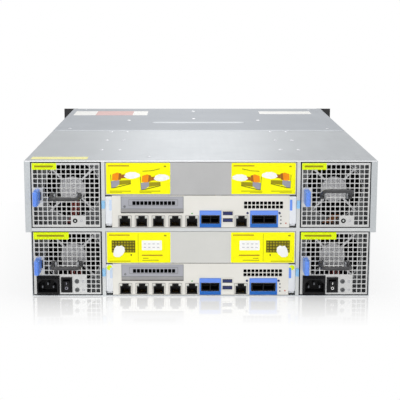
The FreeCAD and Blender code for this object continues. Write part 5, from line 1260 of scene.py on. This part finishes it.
def tray_pieces(left, low):
    wide, tall = TRAY_WIDE, TRAY_TALL
    outline = rounded(0, 0, wide, tall, 1.2, 3)
    vents = []
    for i in range(TRAY_VENTS):
        x = 16 + TRAY_VENT_PITCH * i
        vents += [rounded(x, z, x + 4, z + 2.0, 0.9, 2) for z in (1.8, tall - 3.8)]
    lever = [rounded(15, 5.9, wide - 6, tall - 5.9, 3, 4), rounded(40, 9.4, wide - 16, tall - 9.4, 2.6, 4)]
    grip = rounded(38, 8.6, wide - 14, tall - 8.6, 2.6, 4)
    button = rounded(3.2, 6.4, 12.8, tall - 6.4, 2, 4)
    lens, lens_rise = turned(TRAY_LENS, 16), low + tall - 3.4
    side = sheet([rect(RAIL_END, 1.5, RAIL_FRONT, tall - 2)], TRAY_SHEET, 0.15)
    floor = [rect(1, RAIL_END, wide - 1, RAIL_FRONT)]
    floor += [rounded(14 + 28 * i, RAIL_END + 30, 34 + 28 * i, TRAY_FACE - 40, 4, 3) for i in range(3)]
    back = rect(3, 1.5, wide - 3, tall - 2)
    return [
        panel([outline], 12.4, TRAY_BLACK, left, TRAY_FACE - 1.6, low, 0.3),
        panel([outline] + vents, 1.6, TRAY_BLACK, left, TRAY_FACE, low, 0.3),
        panel(lever, 3.4, BAIL_NYLON, left, TRAY_FACE + 4.3, low, 0.8),
        panel([grip], 0.8, TRAY_BLACK, left, TRAY_FACE + 0.8, low, 0.1),
        panel([button], 3.0, LATCH_BLUE, left, TRAY_FACE + 2.4, low, 0.7),
        (lens, LENS_GREEN, facing_front(left + 5.5, TRAY_FACE, lens_rise)),
        (lens, LENS_CLEAR, facing_front(left + 10.5, TRAY_FACE, lens_rise)),
        (side, TRAY_BLACK, facing_side(left + TRAY_SHEET, 0, low)),
        (side, TRAY_BLACK, facing_side(left + wide - TRAY_SHEET, 0, low)),
        slab(floor, TRAY_SHEET, TRAY_BLACK, left, 0, low + 1.5, 0.15),
        panel([back], TRAY_SHEET, TRAY_BLACK, left, RAIL_END + TRAY_SHEET, low, 0.15),
    ]


def make_trays():
    lefts = [TRAY_LOW.x + TRAY_STEP * column for column in range(TRAY_COLUMNS)]
    for number, left in enumerate(lefts, 1):
        name = f"drive_tray_{number}"
        assemble(name + "_carrier", name, tray_pieces(left, TRAY_LOW.z), (name,))
    pieces = []
    for level in range(FIXED_LEVELS):
        for left in lefts:
            pieces += tray_pieces(left, corner("drive_trays", 0).z + TRAY_DROP * level)
    assemble("drive_tray_carriers", "chassis", pieces, ("drive_trays",))


ROOF_RIVET = [(2.4, 0), (2.2, 0.12), (1.2, 0.22), (0, 0.25)]
ROOF_RIVET_COLUMNS, ROOF_RIVET_ROWS, ROOF_RIVET_INSET = 5, (12, 62, 106, 150, 196), 4
ROOF_SLOTS, ROOF_SLOT_FIRST, ROOF_SLOT_PITCH, ROOF_SLOT_ROWS = 24, 14, 17.2, (26, 70, 114)
ROOF_SLOT_WIDTH, ROOF_SLOT_LENGTH, ROOF_SLOT_SHADE_FILM = 8, 30, 0.12


# Slots and rivets in the roof of the drive cage, seen when the front cover is lifted; the slots are black
# film laid on the roof, painted shade for the dark inside of punched slots
def make_cage_roof():
    low, high = corner("drive_cage", 0), corner("drive_cage", 1)
    slot_shades = []
    for i in range(ROOF_SLOTS):
        x = low.x + ROOF_SLOT_FIRST + ROOF_SLOT_PITCH * i
        for y in ROOF_SLOT_ROWS:
            slot_shades.append(rounded(x, low.y + y, x + ROOF_SLOT_WIDTH, low.y + y + ROOF_SLOT_LENGTH, 3.9, 4))
    pieces = [slab(slot_shades, ROOF_SLOT_SHADE_FILM, MESH_AND_SHADE_BLACK, 0, 0, high.z)]
    span = high.x - low.x - 2 * ROOF_RIVET_INSET
    for column in range(ROOF_RIVET_COLUMNS):
        x = low.x + ROOF_RIVET_INSET + span * column / (ROOF_RIVET_COLUMNS - 1)
        for y in ROOF_RIVET_ROWS:
            pieces.append((turned(ROOF_RIVET, 16), ZINC_BRIGHT, at(x, low.y + y, high.z)))
    assemble("drive_cage_roof", "chassis", pieces)


EAR_LENS = [(1.3, 0), (1.2, 0.4), (0.7, 0.7), (0, 0.75)]
EAR_FRONT = 650


# Two lamp windows under the power button
def make_ear_lamps():
    low, high = corner("power_button", 0), corner("power_button", 1)
    pieces = []
    for drop, finish in ((10, LENS_GREEN), (16, LENS_CLEAR)):
        place = facing_front((low.x + high.x) / 2, REAR + EAR_FRONT, low.z - drop)
        pieces.append((turned(EAR_LENS, 16), finish, place))
    assemble("ear_lamps", "chassis", pieces)


# Floor, light and camera, in metres

# One where a ray shows the background: seen directly, mirrored or through a lens
def background_rays(tree):
    path = add_node(tree, "LightPath")
    seen = add_node(tree, "Math", {"operation": "MAXIMUM"},
                    {0: path.outputs["Is Camera Ray"], 1: path.outputs["Is Glossy Ray"]})
    seen = add_node(tree, "Math", {"operation": "MAXIMUM"},
                    {0: seen.outputs[0], 1: path.outputs["Is Transmission Ray"]})
    return seen.outputs[0]


# White studio board with a slight polish: it shows the shadow and a faint mirror image close to the
# chassis, and fades to plain white away from it
def white_board():
    surface = bpy.data.materials.new("white_studio_board")
    surface.use_nodes = True
    tree = surface.node_tree
    tree.nodes.clear()
    half_shade, fade_start, fade_end, least_white = (0.2, 0.3, 0), 0.02, 0.16, 0.45
    matt = add_node(tree, "BsdfDiffuse", {"Color": linear("#f2f2f2")})
    polish = add_node(tree, "BsdfGlossy", {"Color": linear("#ffffff"), "Roughness": 0.03})
    board = add_node(tree, "MixShader", {0: 0.6}, {1: matt.outputs[0], 2: polish.outputs[0]})
    white = add_node(tree, "Emission", {"Color": (1, 1, 1, 1), "Strength": 1.0})
    place = add_node(tree, "TexCoord")
    far = add_node(tree, "VectorMath", {"operation": "ABSOLUTE"}, {0: place.outputs["Object"]})
    far = add_node(tree, "VectorMath", {"operation": "SUBTRACT", 1: half_shade},
                   {0: far.outputs["Vector"]})
    far = add_node(tree, "VectorMath", {"operation": "MAXIMUM"}, {0: far.outputs["Vector"]})
    far = add_node(tree, "VectorMath", {"operation": "LENGTH"}, {0: far.outputs["Vector"]})
    fade = add_node(tree, "MapRange", {"From Min": fade_start, "From Max": fade_end,
                                       "To Min": least_white, "To Max": 1.0},
                    {"Value": far.outputs["Value"]})
    share = add_node(tree, "Math", {"operation": "MULTIPLY"},
                     {0: background_rays(tree), 1: fade.outputs["Result"]})
    mixed = add_node(tree, "MixShader", None,
                     {0: share.outputs[0], 1: board.outputs[0], 2: white.outputs[0]})
    add_node(tree, "OutputMaterial", None, {"Surface": mixed.outputs[0]})
    return surface


def make_floor():
    reach = 6.0
    mesh = bpy.data.meshes.new("floor")
    mesh.from_pydata([(x, y, 0) for x, y in rect(-reach, -reach, reach, reach)], [], [(0, 1, 2, 3)])
    mesh.materials.append(white_board())
    floor = bpy.data.objects.new("floor", mesh)
    bpy.context.scene.collection.objects.link(floor)


def make_world():
    world = bpy.data.worlds.new("studio")
    bpy.context.scene.world = world
    world.use_nodes = True
    tree = world.node_tree
    tree.nodes.clear()
    room = add_node(tree, "Background", {"Color": linear("#ffffff"), "Strength": 0.5})
    white = add_node(tree, "Background", {"Color": (1, 1, 1, 1), "Strength": 1.0})
    mixed = add_node(tree, "MixShader", None,
                     {0: background_rays(tree), 1: room.outputs[0], 2: white.outputs[0]})
    add_node(tree, "OutputWorld", None, {"Surface": mixed.outputs[0]})


# Name, place, aim, size and power in watts of each lamp
SOFTBOXES = (("overhead_softbox", (0.0, -0.3, 1.9), (0, 0, 0.1), 1.8, 14),
             ("front_softbox", (-0.5, -2.4, 1.1), (0, -0.3, 0.1), 1.6, 14),
             ("side_softbox", (1.9, -1.0, 0.9), (0, 0, 0.1), 1.2, 5),
             ("rear_softbox", (0.0, 2.2, 0.95), (0, -0.2, 0.18), 0.5, 2.2))


def make_light(name, place, aim, size, power):
    lamp = bpy.data.lights.new(name, "AREA")
    lamp.size = size
    lamp.energy = power
    thing = bpy.data.objects.new(name, lamp)
    bpy.context.scene.collection.objects.link(thing)
    thing.location = place
    way = Vector(aim) - Vector(place)
    thing.rotation_euler = way.to_track_quat("-Z", "Y").to_euler()


CAMERA_PLACE, CAMERA_DOWN = (-0.0152, -1.7606, 0.3887), 10.37


def make_camera():
    camera = bpy.data.cameras.new("camera")
    camera.sensor_width = 36.0
    camera.lens = 103.47
    camera.shift_x = 0.0279
    thing = bpy.data.objects.new("camera", camera)
    bpy.context.scene.collection.objects.link(thing)
    thing.location = CAMERA_PLACE
    thing.rotation_euler = (math.radians(90 - CAMERA_DOWN), 0, 0)
    bpy.context.scene.camera = thing


def make_studio():
    bpy.context.scene.view_settings.view_transform = "Standard"
    make_floor()
    make_world()
    for softbox in SOFTBOXES:
        make_light(*softbox)
    make_camera()


make_studio()
dress_cad()
make_modules()
make_controllers()
make_stickers()
make_rear_cover_details()
make_front_cover_details()
make_side_details()
make_trays()
make_cage_roof()
make_ear_lamps()
